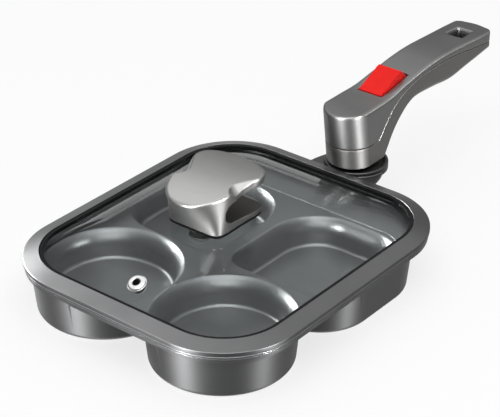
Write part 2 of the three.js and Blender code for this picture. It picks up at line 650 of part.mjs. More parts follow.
const underAt = (y) => (y < BARREL_BACK ? BARREL_BOTTOM_Z : heightOn(underCurve, y));
const topAt = (y) => heightOn(topCurve, y);

function handleSection(y) {
  const halfWidth = THREE.MathUtils.mapLinear(
    THREE.MathUtils.smoothstep(y, 100, HANDLE_TIP_Y - 15), 0, 1, HANDLE_HALF_WIDTH, TIP_HALF_WIDTH);
  const low = THREE.MathUtils.mapLinear(
    THREE.MathUtils.smoothstep(y, BARREL_BACK, 48), 0, 1, BARREL_EDGE_ROUND, GRIP_EDGE_ROUND);
  const corners = [
    [halfWidth - TOP_EDGE_ROUND, topAt(y) - TOP_EDGE_ROUND, TOP_EDGE_ROUND, 0.5],
    [halfWidth - low, underAt(y) + low, low, 0],
    [low - halfWidth, underAt(y) + low, low, -0.5],
    [TOP_EDGE_ROUND - halfWidth, topAt(y) - TOP_EDGE_ROUND, TOP_EDGE_ROUND, -1],
  ];
  return corners.flatMap(([x, z, r, start]) => Array.from({ length: 3 }, (_, i) => {
    const angle = Math.PI * (start - 0.5 * i / 2);
    return v3(x + r * Math.cos(angle), y, z + r * Math.sin(angle));
  }));
}
const lowStations = [-36, -10, BARREL_BACK, 14.5, 18.5, 24, 31, 38, 44, 50, 56, 65, 75, 85, 95];
const gripLeft = HANDLE_TIP_Y + 4 - 95;
const stations = [...lowStations, ...Array.from({ length: 6 }, (_, i) => 95 + gripLeft * (i + 1) / 6)];

// Plan outline at a level: a leaning superellipse in front, drawn in by the top edge's rounding.
function handlePlan(z, drawn) {
  const rise = z - BARREL_BOTTOM_Z;
  const rear = -BARREL_FRONT - BARREL_LEAN * rise + BARREL_ROUND + BARREL_ROUND_RISE * rise;
  const half = HANDLE_HALF_WIDTH + 0.4;
  const tipHalf = TIP_HALF_WIDTH + 0.1;
  const depth = BARREL_ROUND + BARREL_ROUND_RISE * rise - drawn;
  const shape = new THREE.Shape(Array.from({ length: 17 }, (_, i) => {
    const [x, y] = [Math.cos, Math.sin].map((part) => part(Math.PI * (1 + i / 16)));
    const squared = (v) => Math.sign(v) * Math.abs(v) ** (2 / BARREL_SQUARENESS);
    return v2(half * squared(x), rear + depth * squared(y));
  }));
  shape.absarc(tipHalf - TIP_CORNER, HANDLE_TIP_Y - TIP_BOW - TIP_CORNER, TIP_CORNER, 0, Math.PI / 2, false);
  shape.quadraticCurveTo(0, HANDLE_TIP_Y + TIP_BOW, TIP_CORNER - tipHalf, HANDLE_TIP_Y - TIP_BOW);
  shape.absarc(TIP_CORNER - tipHalf, HANDLE_TIP_Y - TIP_BOW - TIP_CORNER, TIP_CORNER,
    Math.PI / 2, Math.PI, false);
  return shape.getPoints(5).map((p) => v3(p.x, p.y, z));
}
const handleBody = solid(loft(stations.map(handleSection)))
  .intersect(solid(loft([
    handlePlan(BARREL_BOTTOM_Z - 4, 0),
    handlePlan(GRIP_Z - TOP_EDGE_ROUND, 0),
    handlePlan(GRIP_Z - 0.3 * TOP_EDGE_ROUND, 0.3 * TOP_EDGE_ROUND),
    handlePlan(GRIP_Z, TOP_EDGE_ROUND),
    handlePlan(GRIP_Z + 20, TOP_EDGE_ROUND),
  ])));

// Region above or below the parting line.
function partingSide(far, shift) {
  const shape = new THREE.Shape();
  shape.moveTo(-45, PARTING_Z + shift);
  shape.lineTo(2.5, PARTING_Z + shift);
  shape.splineThru(partingCurve.map((p) => v2(p.x, p.y + shift)));
  shape.lineTo(HANDLE_TIP_Y + 8, far);
  shape.lineTo(-45, far);
  return sidewise(shape, 40, 0, 3);
}

// Space inside for the lever, the lock pin's head and the button.
const slotHalf = BUTTON_HALF_WIDTH + BUTTON_SLOT_SIDE;
const hollowFront = -LOCK_PIN_SETOFF - LOCK_HEAD_RADIUS - 2 * RUN_GAP;
const barrelHollow = block(-slotHalf, slotHalf, hollowFront, BUTTON_FRONT_Y + 2,
  PARTING_Z - PARTING_GAP, GRIP_Z - SHELL_WALL);
const leverUnderAt = (y) => THREE.MathUtils.mapLinear(y, LEVER_KNEE_Y, BUTTON_PIN_Y + LEVER_HEEL,
  LEVER_TOP_Z - LEVER_THICKNESS, BUTTON_PIN_Z - LEVER_HEEL_DROP);
const wellFloor = Math.min(GRIP_Z - BUTTON_WELL_DROP, leverUnderAt(BUTTON_FRONT_Y + 2) - RUN_GAP);
const buttonWell = block(-slotHalf, slotHalf, BUTTON_FRONT_Y - BUTTON_SLOT_SIDE,
  BUTTON_REAR_Y + BUTTON_SLOT_REAR, wellFloor, GRIP_Z + 30);
const crossBore = new THREE.CylinderGeometry(BUTTON_PIN_RADIUS + FIT_GAP, BUTTON_PIN_RADIUS + FIT_GAP,
  2 * (BUTTON_PIN_HALF_LENGTH + FIT_GAP), 20);
crossBore.rotateZ(Math.PI / 2);
crossBore.translate(0, BUTTON_PIN_Y, BUTTON_PIN_Z);

// Hang hole through both shells, with a chamfer at the top.
const hangY = HANDLE_TIP_Y - HANG_HOLE_SETBACK;
function hangRing(grow, z) {
  const x = HANG_HOLE_HALF_WIDTH + grow;
  const y = HANG_HOLE_HALF_LENGTH + grow;
  return roundedRing(-x, x, hangY - y, hangY + y, Array(4).fill(HANG_HOLE_CORNER + grow), z);
}
const hangTop = topAt(hangY);
const hangHole = loft([
  hangRing(0, BARREL_BOTTOM_Z),
  hangRing(0, hangTop - HANG_HOLE_CHAMFER),
  hangRing(HANG_HOLE_CHAMFER, hangTop),
  hangRing(HANG_HOLE_CHAMFER, hangTop + 8),
]);

const screwBores = SHELL_SCREW_Y.map((y) => rod(SHELL_SCREW_RADIUS + FIT_GAP, BARREL_BOTTOM_Z,
  topAt(y) - SHELL_SCREW_REACH + FIT_GAP, 0, y, 16));
const headSeat = (y) => topAt(y) - SHELL_SCREW_SEAT_DROP - SHELL_SCREW_HEAD_HEIGHT;
const headBores = SHELL_SCREW_Y.map((y) => rod(SHELL_SCREW_HEAD_RADIUS + FIT_GAP, BARREL_BOTTOM_Z,
  headSeat(y) + SHELL_SCREW_HEAD_HEIGHT + FIT_GAP, 0, y, 20));

const upper = handleBody.intersect(solid(partingSide(GRIP_Z + 60, PARTING_GAP / 2)));
const upperShell = cut(upper, barrelHollow, buttonWell, crossBore, hangHole, ...screwBores);
add("handle_upper_shell", shown(upperShell).translate(0, SEAT_Y, 0), ...SATIN);

const lowerSide = partingSide(BARREL_BOTTOM_Z - 30, -PARTING_GAP / 2);
const lower = handleBody.intersect(solid(mirrored(lowerSide)));
const nutPocket = rod(NUT_RADIUS + FIT_GAP, NUT_TOP_Z - NUT_HEIGHT - FIT_GAP, PARTING_Z + 1, 0, 0, 6);
const boltBore = rod(PIVOT_RADIUS + FIT_GAP, BARREL_BOTTOM_Z - 1, PARTING_Z + 1, 0, 0, 16);
const lockBore = rod(LOCK_PIN_RADIUS + RUN_GAP, BARREL_BOTTOM_Z - 1, PARTING_Z + 1, 0, -LOCK_PIN_SETOFF, 16);
const lowerHollows = [barrelHollow, buttonWell, hangHole, nutPocket, boltBore, lockBore];
const lowerShell = cut(lower, ...lowerHollows, ...screwBores, ...headBores);
add("handle_lower_shell", shown(lowerShell).translate(0, SEAT_Y, 0), 0x6f6d69, 0.6, 0.4);

SHELL_SCREW_Y.forEach((y, i) => {
  const base = headSeat(y);
  const top = base + SHELL_SCREW_HEAD_HEIGHT;
  const screw = turned([
    [0, base],
    [SHELL_SCREW_HEAD_RADIUS - 0.6, base],
    [SHELL_SCREW_HEAD_RADIUS, base + 0.8],
    [SHELL_SCREW_HEAD_RADIUS, top],
    [SHELL_SCREW_RADIUS, top],
    [SHELL_SCREW_RADIUS, topAt(y) - SHELL_SCREW_REACH],
    [0, topAt(y) - SHELL_SCREW_REACH],
  ], 0, y, 12);
  const slots = [
    block(-2, 2, y - 0.4, y + 0.4, base - 1, base + 1),
    block(-0.4, 0.4, y - 2, y + 2, base - 1, base + 1),
  ];
  add(`shell_screw_${i + 1}`, shown(cut(solid(screw), ...slots)).translate(0, SEAT_Y, 0), ...STEEL);
});

// Black hub under the barrel: a disc in the liner and a neck up to the lower shell.
const hub = turned([
  [0, HUB_BOTTOM_Z],
  [LINER_INNER_RADIUS - RUN_GAP, HUB_BOTTOM_Z],
  [LINER_INNER_RADIUS - RUN_GAP, HUB_BOTTOM_Z + HUB_DISC_HEIGHT],
  [HUB_NECK_RADIUS, HUB_BOTTOM_Z + HUB_DISC_HEIGHT],
  [HUB_NECK_RADIUS, BARREL_BOTTOM_Z - FIT_GAP],
  [0, BARREL_BOTTOM_Z - FIT_GAP],
], 0, 0, 28);
const hubLockBore = rod(LOCK_PIN_RADIUS + RUN_GAP, HUB_BOTTOM_Z - 1, BARREL_BOTTOM_Z,
  0, -LOCK_PIN_SETOFF, 16);
const lockCollar = rod(LOCK_PIN_RADIUS + RUN_GAP + 1.4, HUB_BOTTOM_Z, BARREL_BOTTOM_Z - FIT_GAP,
  0, -LOCK_PIN_SETOFF, 16);
const hubBoltBore = rod(PIVOT_RADIUS + FIT_GAP, HUB_BOTTOM_Z - 1, BARREL_BOTTOM_Z, 0, 0, 16);
const boredHub = cut(join(hub, lockCollar), hubLockBore, hubBoltBore);
add("swivel_hub", shown(boredHub).translate(0, SEAT_Y, 0), ...BLACK);

const floorUnder = SEAT_FLOOR_Z - SEAT_FLOOR_THICKNESS;
const washerTop = floorUnder - FIT_GAP;
const boltHeadTop = washerTop - PIVOT_WASHER_THICKNESS - FIT_GAP;
add("pivot_washer", solid(tube(PIVOT_RADIUS + FIT_GAP, PIVOT_WASHER_RADIUS,
  washerTop - PIVOT_WASHER_THICKNESS, washerTop, 0, SEAT_Y)), ...STEEL);
const bolt = turned([
  [0, boltHeadTop - PIVOT_HEAD_HEIGHT],
  [PIVOT_HEAD_RADIUS - 1, boltHeadTop - PIVOT_HEAD_HEIGHT],
  [PIVOT_HEAD_RADIUS, boltHeadTop - PIVOT_HEAD_HEIGHT + 1],
  [PIVOT_HEAD_RADIUS, boltHeadTop],
  [PIVOT_RADIUS, boltHeadTop],
  [PIVOT_RADIUS, NUT_TOP_Z - 0.6],
  [PIVOT_RADIUS - 0.6, NUT_TOP_Z],
  [0, NUT_TOP_Z],
], 0, SEAT_Y, 18);
const boltSocket = rod(3.2, boltHeadTop - PIVOT_HEAD_HEIGHT - 1, boltHeadTop - 1, 0, SEAT_Y, 6);
add("pivot_bolt", cut(solid(bolt), boltSocket), ...STEEL);
add("pivot_nut", cut(solid(rod(NUT_RADIUS, NUT_TOP_Z - NUT_HEIGHT, NUT_TOP_Z, 0, SEAT_Y, 6)),
  rod(PIVOT_RADIUS + FIT_GAP, 0, GRIP_Z, 0, SEAT_Y, 18)), ...STEEL);

// Red wedge button with a lever that forks round the lock pin.
const buttonShape = new THREE.Shape();
buttonShape.moveTo(BUTTON_FRONT_Y, topAt(BUTTON_FRONT_Y) + 0.3);
buttonShape.lineTo(BUTTON_FRONT_Y + 0.6, GRIP_Z - BUTTON_DEPTH + 1);
buttonShape.lineTo(BUTTON_CREST_Y, GRIP_Z - BUTTON_DEPTH);
buttonShape.lineTo(BUTTON_REAR_Y, GRIP_Z - BUTTON_DEPTH + 5);
buttonShape.lineTo(BUTTON_REAR_Y, GRIP_Z + BUTTON_REAR_RISE);
buttonShape.lineTo(BUTTON_CREST_Y + 0.6, GRIP_Z + BUTTON_CREST_RISE - 0.5);
buttonShape.quadraticCurveTo(BUTTON_CREST_Y - 0.4, GRIP_Z + BUTTON_CREST_RISE + 0.2,
  BUTTON_CREST_Y - 2, GRIP_Z + BUTTON_CREST_RISE - 0.4);
const leverTip = -LOCK_PIN_SETOFF - LEVER_TIP_OVERHANG;
const leverShape = new THREE.Shape();
leverShape.moveTo(leverTip, LEVER_TOP_Z - LEVER_THICKNESS);
leverShape.lineTo(LEVER_KNEE_Y, LEVER_TOP_Z - LEVER_THICKNESS);
leverShape.lineTo(BUTTON_PIN_Y + LEVER_HEEL, BUTTON_PIN_Z - LEVER_HEEL_DROP);
leverShape.lineTo(BUTTON_PIN_Y + LEVER_HEEL, BUTTON_PIN_Z + 1);
leverShape.lineTo(BUTTON_PIN_Y - 1, BUTTON_PIN_Z);
leverShape.lineTo(LEVER_KNEE_Y - 1.5, LEVER_TOP_Z);
leverShape.lineTo(leverTip, LEVER_TOP_Z);
const fork = block(-LOCK_PIN_RADIUS - RUN_GAP, LOCK_PIN_RADIUS + RUN_GAP, leverTip - 1,
  LOCK_PIN_RADIUS + 2.5 - LOCK_PIN_SETOFF, LEVER_TOP_Z - 10, LEVER_TOP_Z + 10);
const pinHole = new THREE.CylinderGeometry(BUTTON_PIN_RADIUS + FIT_GAP, BUTTON_PIN_RADIUS + FIT_GAP, 60, 20);
pinHole.rotateZ(Math.PI / 2);
pinHole.translate(0, BUTTON_PIN_Y, BUTTON_PIN_Z);
const wedge = sidewise(buttonShape, BUTTON_HALF_WIDTH, BUTTON_EDGE);
const button = cut(join(wedge, sidewise(leverShape, LEVER_HALF_WIDTH)), fork, pinHole);
add("release_button", shown(button).translate(0, SEAT_Y, 0), 0xd8281f, 0, 0.4);

const crossPin = new THREE.CylinderGeometry(BUTTON_PIN_RADIUS, BUTTON_PIN_RADIUS,
  2 * BUTTON_PIN_HALF_LENGTH, 16);
crossPin.rotateZ(Math.PI / 2);
crossPin.translate(0, BUTTON_PIN_Y + SEAT_Y, BUTTON_PIN_Z);
add("button_pin", solid(crossPin), ...STEEL);

add("lock_pin", solid(turned([
  [0, LOCK_PIN_TIP_Z],
  [LOCK_PIN_RADIUS - 0.8, LOCK_PIN_TIP_Z],
  [LOCK_PIN_RADIUS, LOCK_PIN_TIP_Z + 1],
  [LOCK_PIN_RADIUS, LOCK_HEAD_Z],
  [LOCK_HEAD_RADIUS, LOCK_HEAD_Z],
  [LOCK_HEAD_RADIUS, LOCK_HEAD_Z + LOCK_HEAD_HEIGHT],
  [LOCK_SPIGOT_RADIUS, LOCK_HEAD_Z + LOCK_HEAD_HEIGHT],
  [LOCK_SPIGOT_RADIUS, LOCK_HEAD_Z + LOCK_HEAD_HEIGHT + LOCK_SPIGOT_HEIGHT],
  [0, LOCK_HEAD_Z + LOCK_HEAD_HEIGHT + LOCK_SPIGOT_HEIGHT],
], 0, SEAT_Y - LOCK_PIN_SETOFF, 16)), ...STEEL);

class Helix extends THREE.Curve {
  getPoint(t, target = v3()) {
    const angle = 2 * Math.PI * SPRING_TURNS * t;
    const z = THREE.MathUtils.lerp(SPRING_BOTTOM_Z + SPRING_WIRE, SPRING_TOP_Z - SPRING_WIRE, t);
    return target.set(SPRING_RADIUS * Math.cos(angle), SPRING_RADIUS * Math.sin(angle), z);
  }
}
const wire = new THREE.Shape();
wire.absarc(0, 0, SPRING_WIRE, 0, 2 * Math.PI, false);
const spring = new THREE.ExtrudeGeometry(wire, {
  extrudePath: new Helix(),
  steps: 8 * SPRING_TURNS,
  curveSegments: 3,
  bevelEnabled: false,
});
spring.translate(0, SEAT_Y - LOCK_PIN_SETOFF, 0);
add("lock_spring", solid(spring), ...STEEL);

// Lid ring: sloped band with an upright edge and a skirt that drops inside the rim.
const bandZ = LID_BOTTOM_Z + LID_EDGE_HEIGHT;
const skirtInner = LID_SKIRT_INSET + LID_SKIRT_THICKNESS;
add("lid_ring", solid(band([
  [0, LID_BOTTOM_Z],
  [0, bandZ - LID_EDGE_ROUND],
  [LID_EDGE_ROUND, bandZ],
  [LID_BAND_WIDTH - 0.5, bandZ + LID_BAND_RISE],
  [LID_BAND_WIDTH, bandZ + LID_BAND_RISE - 0.4],
  [LID_BAND_WIDTH, LID_UNDERSIDE_Z],
  [skirtInner, LID_UNDERSIDE_Z],
  [skirtInner, LID_BOTTOM_Z - LID_SKIRT_DEPTH],
  [LID_SKIRT_INSET, LID_BOTTOM_Z - LID_SKIRT_DEPTH],
  [LID_SKIRT_INSET, LID_BOTTOM_Z],
].map(([inset, z]) => lidRing(inset, z)))), ...CAST);

// Black seal: a leg on the glass and a wall inside the ring.
const sealLegTop = SEAL_BOTTOM_Z + SEAL_LEG_HEIGHT;
const sealInner = SEAL_INNER_INSET - SEAL_WALL;
add("lid_seal", solid(band([
  [SEAL_OUTER_INSET, SEAL_BOTTOM_Z],
  [SEAL_OUTER_INSET, sealLegTop],
  [sealInner, sealLegTop],
  [sealInner, bandZ + LID_BAND_RISE - SEAL_DROP],
  [SEAL_INNER_INSET, bandZ + LID_BAND_RISE - SEAL_DROP],
  [SEAL_INNER_INSET, SEAL_BOTTOM_Z],
].map(([inset, z]) => lidRing(inset, z)))), ...BLACK);

// Glass: flat flange under the seal, then a dome that flattens towards the middle.
const domeAt = (share) => GLASS_EDGE_Z + DOME_RISE * (1 - Math.pow(share, DOME_POWER));
function domeRing(share, z) {
  const x = (LID_HALF_WIDTH - DOME_INSET) * share;
  const y = DOME_HALF_LENGTH * share;
  const r = (LID_CORNER_RADIUS - DOME_INSET) * share;
  return roundedRing(-x, x, -y, y, [r, r, r, r], z);
}
const shares = [0.05, 0.38, 0.6, 0.76, 0.89, 1];
const glassOuterInset = SEAL_OUTER_INSET;
const glass = loft([
  ...shares.map((s) => domeRing(s, domeAt(s) - GLASS_THICKNESS)),
  lidRing(glassOuterInset, GLASS_EDGE_Z - GLASS_THICKNESS),
  lidRing(glassOuterInset, GLASS_EDGE_Z),
  ...shares.toReversed().map((s) => domeRing(s, domeAt(s))),
]);
const ventShare = -VENT_Y / DOME_HALF_LENGTH;
const ventDrop = domeAt(ventShare - 0.04) - domeAt(ventShare + 0.04);
const ventSlope = Math.atan(ventDrop / (0.08 * DOME_HALF_LENGTH));
function onDome(geometry) {
  geometry.rotateX(ventSlope);
  geometry.translate(0, VENT_Y, domeAt(ventShare));
  return geometry;
}
const ventHole = onDome(rod(VENT_BARREL_RADIUS + FIT_GAP, -10, 10, 0, 0, 24));
const screwHole = rod(KNOB_SCREW_RADIUS + FIT_GAP, DOME_APEX_Z - 20, DOME_APEX_Z + 10, 0, KNOB_SCREW_Y, 20);
add("lid_glass", cut(solid(glass), ventHole, screwHole), 0xdfe6e6, 0, 0.05,
  { transparent: true, opacity: 0.35 });

const ventBack = -GLASS_THICKNESS - VENT_BACK_GAP;
add("vent_eyelet", solid(onDome(turned([
  [VENT_BORE_RADIUS, ventBack - 0.8],
  [VENT_BACK_RADIUS, ventBack - 0.8],
  [VENT_BACK_RADIUS, ventBack],
  [VENT_BARREL_RADIUS, ventBack],
  [VENT_BARREL_RADIUS, FIT_GAP],
  [VENT_FLANGE_RADIUS, FIT_GAP],
  [VENT_FLANGE_RADIUS, FIT_GAP + 0.5],
  [VENT_FLANGE_RADIUS - 1.2, FIT_GAP + VENT_FLANGE_HEIGHT],
  [VENT_BORE_RADIUS + 0.8, FIT_GAP + VENT_FLANGE_HEIGHT],
  [VENT_BORE_RADIUS, FIT_GAP + VENT_FLANGE_HEIGHT - 0.6],
  [VENT_BORE_RADIUS, ventBack - 0.8],
], 0, 0, 16))), ...STEEL);

// Knob: straight-fronted base lofted to a round-nosed top, with a finger slot open to the handle side.
const knobBaseHalf = [
  v2(0, -40.3), v2(10, -40.3), v2(20.6, -39.9), v2(23, -37.6), v2(23.4, -30), v2(23.3, -22),
  v2(23.2, -13.5), v2(23.4, -5.5), v2(23.4, 2.5), v2(20.4, 10.4), v2(10.6, 14.2), v2(0, 15),
];
const knobTopHalf = [
  v2(0, -53.4), v2(10.8, -51), v2(19.4, -43.2), v2(24.4, -33), v2(25.4, -24), v2(25, -15.5),
  v2(26.8, -7.5), v2(28.8, -0.5), v2(26.8, 6.6), v2(20, 11.8), v2(10, 14.8), v2(0, 15.5),
];
const KNOB_POINTS = 46;
function outline(half) {
  const full = [...half, ...half.slice(1, -1).reverse().map((p) => v2(-p.x, p.y))];
  const curve = new THREE.CatmullRomCurve3(full.map((p) => v3(p.x, p.y, 0)), true, "catmullrom", 0.5);
  return Array.from({ length: KNOB_POINTS }, (_, i) => curve.getPoint(i / KNOB_POINTS));
}
const knobBase = outline(knobBaseHalf);
const knobTop = outline(knobTopHalf);
const knobNose = knobTopHalf[0].y;
const knobRear = knobTopHalf[knobTopHalf.length - 1].y;
const knobTopAt = (y) => KNOB_BASE_Z + KNOB_HEIGHT
  + KNOB_REAR_RISE * THREE.MathUtils.inverseLerp(knobNose, knobRear, y);
const knobMiddle = v3(0, (knobNose + knobRear) / 2, 0);

// Ring of the knob a share of the way up, drawn in towards its middle and lowered.
function knobRing(share, drawn, drop) {
  return knobBase.map((p, i) => {
    const q = p.clone().lerp(knobTop[i], share);
    const out = q.clone().sub(knobMiddle);
    q.addScaledVector(out, -drawn / out.length());
    q.z = THREE.MathUtils.lerp(KNOB_BASE_Z, knobTopAt(q.y) - drop, share);
    return q;
  });
}
const knobBody = loft([
  knobRing(0, 0, 0),
  knobRing(0.35, 0, KNOB_EDGE_ROUND),
  knobRing(0.7, 0, KNOB_EDGE_ROUND),
  knobRing(1, 0, KNOB_EDGE_ROUND),
  knobRing(1, 0.3 * KNOB_EDGE_ROUND, 0.3 * KNOB_EDGE_ROUND),
  knobRing(1, KNOB_EDGE_ROUND, 0),
]);
const slotZ = KNOB_BASE_Z + KNOB_SLOT_HEIGHT;
const slotEnd = knobRear + 20;
const slotSpread = KNOB_SLOT_SPREAD * (slotEnd - KNOB_SLOT_Y);
const slotShape = new THREE.Shape();
slotShape.moveTo(slotEnd, slotZ - KNOB_SLOT_RADIUS - slotSpread);
slotShape.lineTo(slotEnd, slotZ + KNOB_SLOT_RADIUS + KNOB_SLOT_LIFT * (slotEnd - KNOB_SLOT_Y));
slotShape.absarc(KNOB_SLOT_Y, slotZ, KNOB_SLOT_RADIUS, Math.PI / 2, 1.5 * Math.PI, false);
const scoop = new THREE.CapsuleGeometry(KNOB_SCOOP_RADIUS, KNOB_SCOOP_LENGTH, 5, 18);
scoop.translate(0, KNOB_SCOOP_LENGTH / 2, 0);
scoop.rotateX(KNOB_SCOOP_CLIMB);
scoop.rotateZ(-KNOB_SCOOP_SPLAY);
scoop.translate(KNOB_SCOOP_X, KNOB_SCOOP_Y, knobTopAt(KNOB_SCOOP_Y) + KNOB_SCOOP_LIFT);
const knobBore = rod(KNOB_SCREW_RADIUS + FIT_GAP, KNOB_BASE_Z - 1, KNOB_BASE_Z + KNOB_SCREW_BITE + FIT_GAP,
  0, KNOB_SCREW_Y, 20);
const knobHollows = [sidewise(slotShape, 60), ...bothSides(scoop), knobBore];
add("knob_body", cut(solid(knobBody), ...knobHollows), 0xb5b5b4, 0.7, 0.3);

function padRing(z) {
  const middle = v3(0, (knobBaseHalf[0].y + knobBaseHalf[knobBaseHalf.length - 1].y) / 2, 0);
  return knobBase.map((p) => {
    const out = p.clone().sub(middle);
    return p.clone().addScaledVector(out, -PAD_INSET / out.length()).setZ(z);
  });
}
const padBore = rod(KNOB_SCREW_RADIUS + FIT_GAP, PAD_BOTTOM_Z - 1, KNOB_BASE_Z, 0, KNOB_SCREW_Y, 20);
const pad = loft([padRing(PAD_BOTTOM_Z), padRing(PAD_BOTTOM_Z + PAD_HEIGHT)]);
add("knob_pad", cut(solid(pad), padBore), ...BLACK);
add("knob_boss", solid(tube(KNOB_SCREW_RADIUS + FIT_GAP, BOSS_RADIUS,
  BOSS_BOTTOM_Z, BOSS_BOTTOM_Z + BOSS_HEIGHT, 0, KNOB_SCREW_Y)), ...STEEL);
const washerReach = (BOSS_RADIUS - KNOB_SCREW_Y) / DOME_HALF_LENGTH;
const outerShare = shares.findIndex((s) => s > washerReach);
const glassUnder = THREE.MathUtils.mapLinear(washerReach, shares[outerShare - 1], shares[outerShare],
  domeAt(shares[outerShare - 1]), domeAt(shares[outerShare])) - GLASS_THICKNESS - FIT_GAP;
const knobWasherBottom = glassUnder - KNOB_WASHER_THICKNESS;
add("knob_washer", solid(tube(KNOB_SCREW_RADIUS + FIT_GAP, BOSS_RADIUS, knobWasherBottom, glassUnder,
  0, KNOB_SCREW_Y)), ...STEEL);
const knobHeadTop = knobWasherBottom - FIT_GAP;
const knobHeadBottom = knobHeadTop - KNOB_SCREW_HEAD_HEIGHT;
const knobScrew = turned([
  [0, knobHeadBottom],
  [KNOB_SCREW_HEAD_RADIUS - 1.6, knobHeadBottom],
  [KNOB_SCREW_HEAD_RADIUS, knobHeadBottom + 1.4],
  [KNOB_SCREW_HEAD_RADIUS, knobHeadTop],
  [KNOB_SCREW_RADIUS, knobHeadTop],
  [KNOB_SCREW_RADIUS, KNOB_BASE_Z + KNOB_SCREW_BITE],
  [0, KNOB_BASE_Z + KNOB_SCREW_BITE],
], 0, KNOB_SCREW_Y, 16);
const knobSlots = [
  block(-3, 3, KNOB_SCREW_Y - 0.6, KNOB_SCREW_Y + 0.6, knobHeadBottom - 1, knobHeadBottom + 1.4),
  block(-0.6, 0.6, KNOB_SCREW_Y - 3, KNOB_SCREW_Y + 3, knobHeadBottom - 1, knobHeadBottom + 1.4),
];
add("knob_screw", cut(solid(knobScrew), ...knobSlots), ...STEEL);

// Origin under the middle of the whole length.
group.position.y = -(SEAT_Y + HANDLE_TIP_Y - LID_HALF_LENGTH) / 2;

export default group;
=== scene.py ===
import math

import bmesh
import bpy
from mathutils import Matrix, Vector


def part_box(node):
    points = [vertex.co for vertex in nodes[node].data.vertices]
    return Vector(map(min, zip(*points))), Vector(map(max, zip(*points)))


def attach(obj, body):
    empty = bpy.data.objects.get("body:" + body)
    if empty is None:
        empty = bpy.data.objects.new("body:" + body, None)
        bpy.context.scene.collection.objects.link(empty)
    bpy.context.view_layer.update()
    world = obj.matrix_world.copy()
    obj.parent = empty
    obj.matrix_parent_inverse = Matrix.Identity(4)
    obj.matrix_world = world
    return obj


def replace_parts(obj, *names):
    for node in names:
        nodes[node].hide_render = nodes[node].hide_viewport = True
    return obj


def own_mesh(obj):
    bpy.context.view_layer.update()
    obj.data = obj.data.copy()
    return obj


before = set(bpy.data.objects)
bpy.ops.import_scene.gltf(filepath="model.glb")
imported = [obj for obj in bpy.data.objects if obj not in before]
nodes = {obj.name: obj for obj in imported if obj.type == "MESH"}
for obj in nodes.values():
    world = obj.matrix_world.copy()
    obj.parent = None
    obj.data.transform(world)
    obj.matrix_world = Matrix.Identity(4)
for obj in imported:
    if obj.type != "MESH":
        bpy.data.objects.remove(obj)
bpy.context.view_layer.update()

# Pan: one aluminium casting with a deck, two round and two square-ended wells, the cups that
# stand on the hob, a rim that carries the lid and a lug for the handle seat. A dark satin
# metallic coating covers the outside, and a smoother dark coat the wells and the deck.

# The pan's middle in the row frame, in millimetres along the handle.
PAN_MIDDLE = -92.6

LID_HALF_WIDTH = 110
LID_HALF_LENGTH = 125.8
LID_CORNER = 56.7
CORNER_STEPS = 22

RIM_SETBACK = 0.5
RIM_BOTTOM = 31.6
RIM_TOP = 36.9
DECK = 30
DECK_UNDERSIDE = 27.6
WELL_FLOOR = 8.5


def at(x, y, z):
    """A point of the pan in millimetres, from the pan's middle, in the row frame."""
    return Vector((x, y + PAN_MIDDLE, z)) / 1000


def arc(x, y, radius, start, end, steps):
    """Points on an arc, with its angles in half turns."""
    turns = [math.pi * (start + (end - start) * i / steps) for i in range(steps + 1)]
    return [(x + radius * math.cos(t), y + radius * math.sin(t)) for t in turns]


def bend(a, b, c, steps):
    """Points on a curve from a to c that is drawn towards b."""
    made = []
    for i in range(steps + 1):
        t = i / steps
        made.append(
            tuple((1 - t) ** 2 * p + 2 * t * (1 - t) * q + t * t * r for p, q, r in zip(a, b, c))
        )
    return made


def eased(profile, radius, closed=False, steps=4):
    """A profile with its corners rounded."""
    made = []
    for i, corner in enumerate(profile):
        if not closed and i in (0, len(profile) - 1):
            made.append(corner)
            continue
        here = Vector(corner)
        back = Vector(profile[i - 1]) - here
        on = Vector(profile[(i + 1) % len(profile)]) - here
        reach = min(radius, 0.45 * back.length, 0.45 * on.length)
        start, end = here + back.normalized() * reach, here + on.normalized() * reach
        made += bend(start, here, end, steps)
    return made


def rounded(x0, x1, y0, y1, radii, z):
    """A rounded rectangle at a level; its radii run from the right near corner."""
    most = min(x1 - x0, y1 - y0) / 2 - 0.05
    a, b, c, d = (min(max(r, 0.4), most) for r in radii)
    plan = (
        arc(x1 - a, y0 + a, a, -0.5, 0, CORNER_STEPS)
        + arc(x1 - b, y1 - b, b, 0, 0.5, CORNER_STEPS)
        + arc(x0 + c, y1 - c, c, 0.5, 1, CORNER_STEPS)
        + arc(x0 + d, y0 + d, d, 1, 1.5, CORNER_STEPS)
    )
    return [(x, y, z) for x, y in plan]


def lid_line(inset, z):
    """The lid's outline, drawn in by an inset."""
    x, y, r = LID_HALF_WIDTH - inset, LID_HALF_LENGTH - inset, LID_CORNER - inset
    return rounded(-x, x, -y, y, [r] * 4, z)


def solid(name, points, faces):
    """A closed body from points in millimetres, with its faces turned outwards."""
    mesh = bpy.data.meshes.new(name)
    mesh.from_pydata([at(*p) for p in points], [], faces)
    form = bmesh.new()
    form.from_mesh(mesh)
    bmesh.ops.remove_doubles(form, verts=form.verts, dist=1e-7)
    bmesh.ops.recalc_face_normals(form, faces=form.faces)
    form.to_mesh(mesh)
    form.free()
    body = bpy.data.objects.new(name, mesh)
    bpy.context.scene.collection.objects.link(body)
    return body


def lofted(name, rings, endless=False):
    """A body through rings of equal point count, capped, or joined last to first."""
    count = len(rings[0])
    faces = []
    for r in range(len(rings) - (0 if endless else 1)):
        low, high = r * count, (r + 1) % len(rings) * count
        for i in range(count):
            j = (i + 1) % count
            faces.append((low + i, low + j, high + j, high + i))
    if not endless:
        faces.append(tuple(range(count)))
        faces.append(tuple(range((len(rings) - 1) * count, len(rings) * count)))
    return solid(name, [p for ring in rings for p in ring], faces)


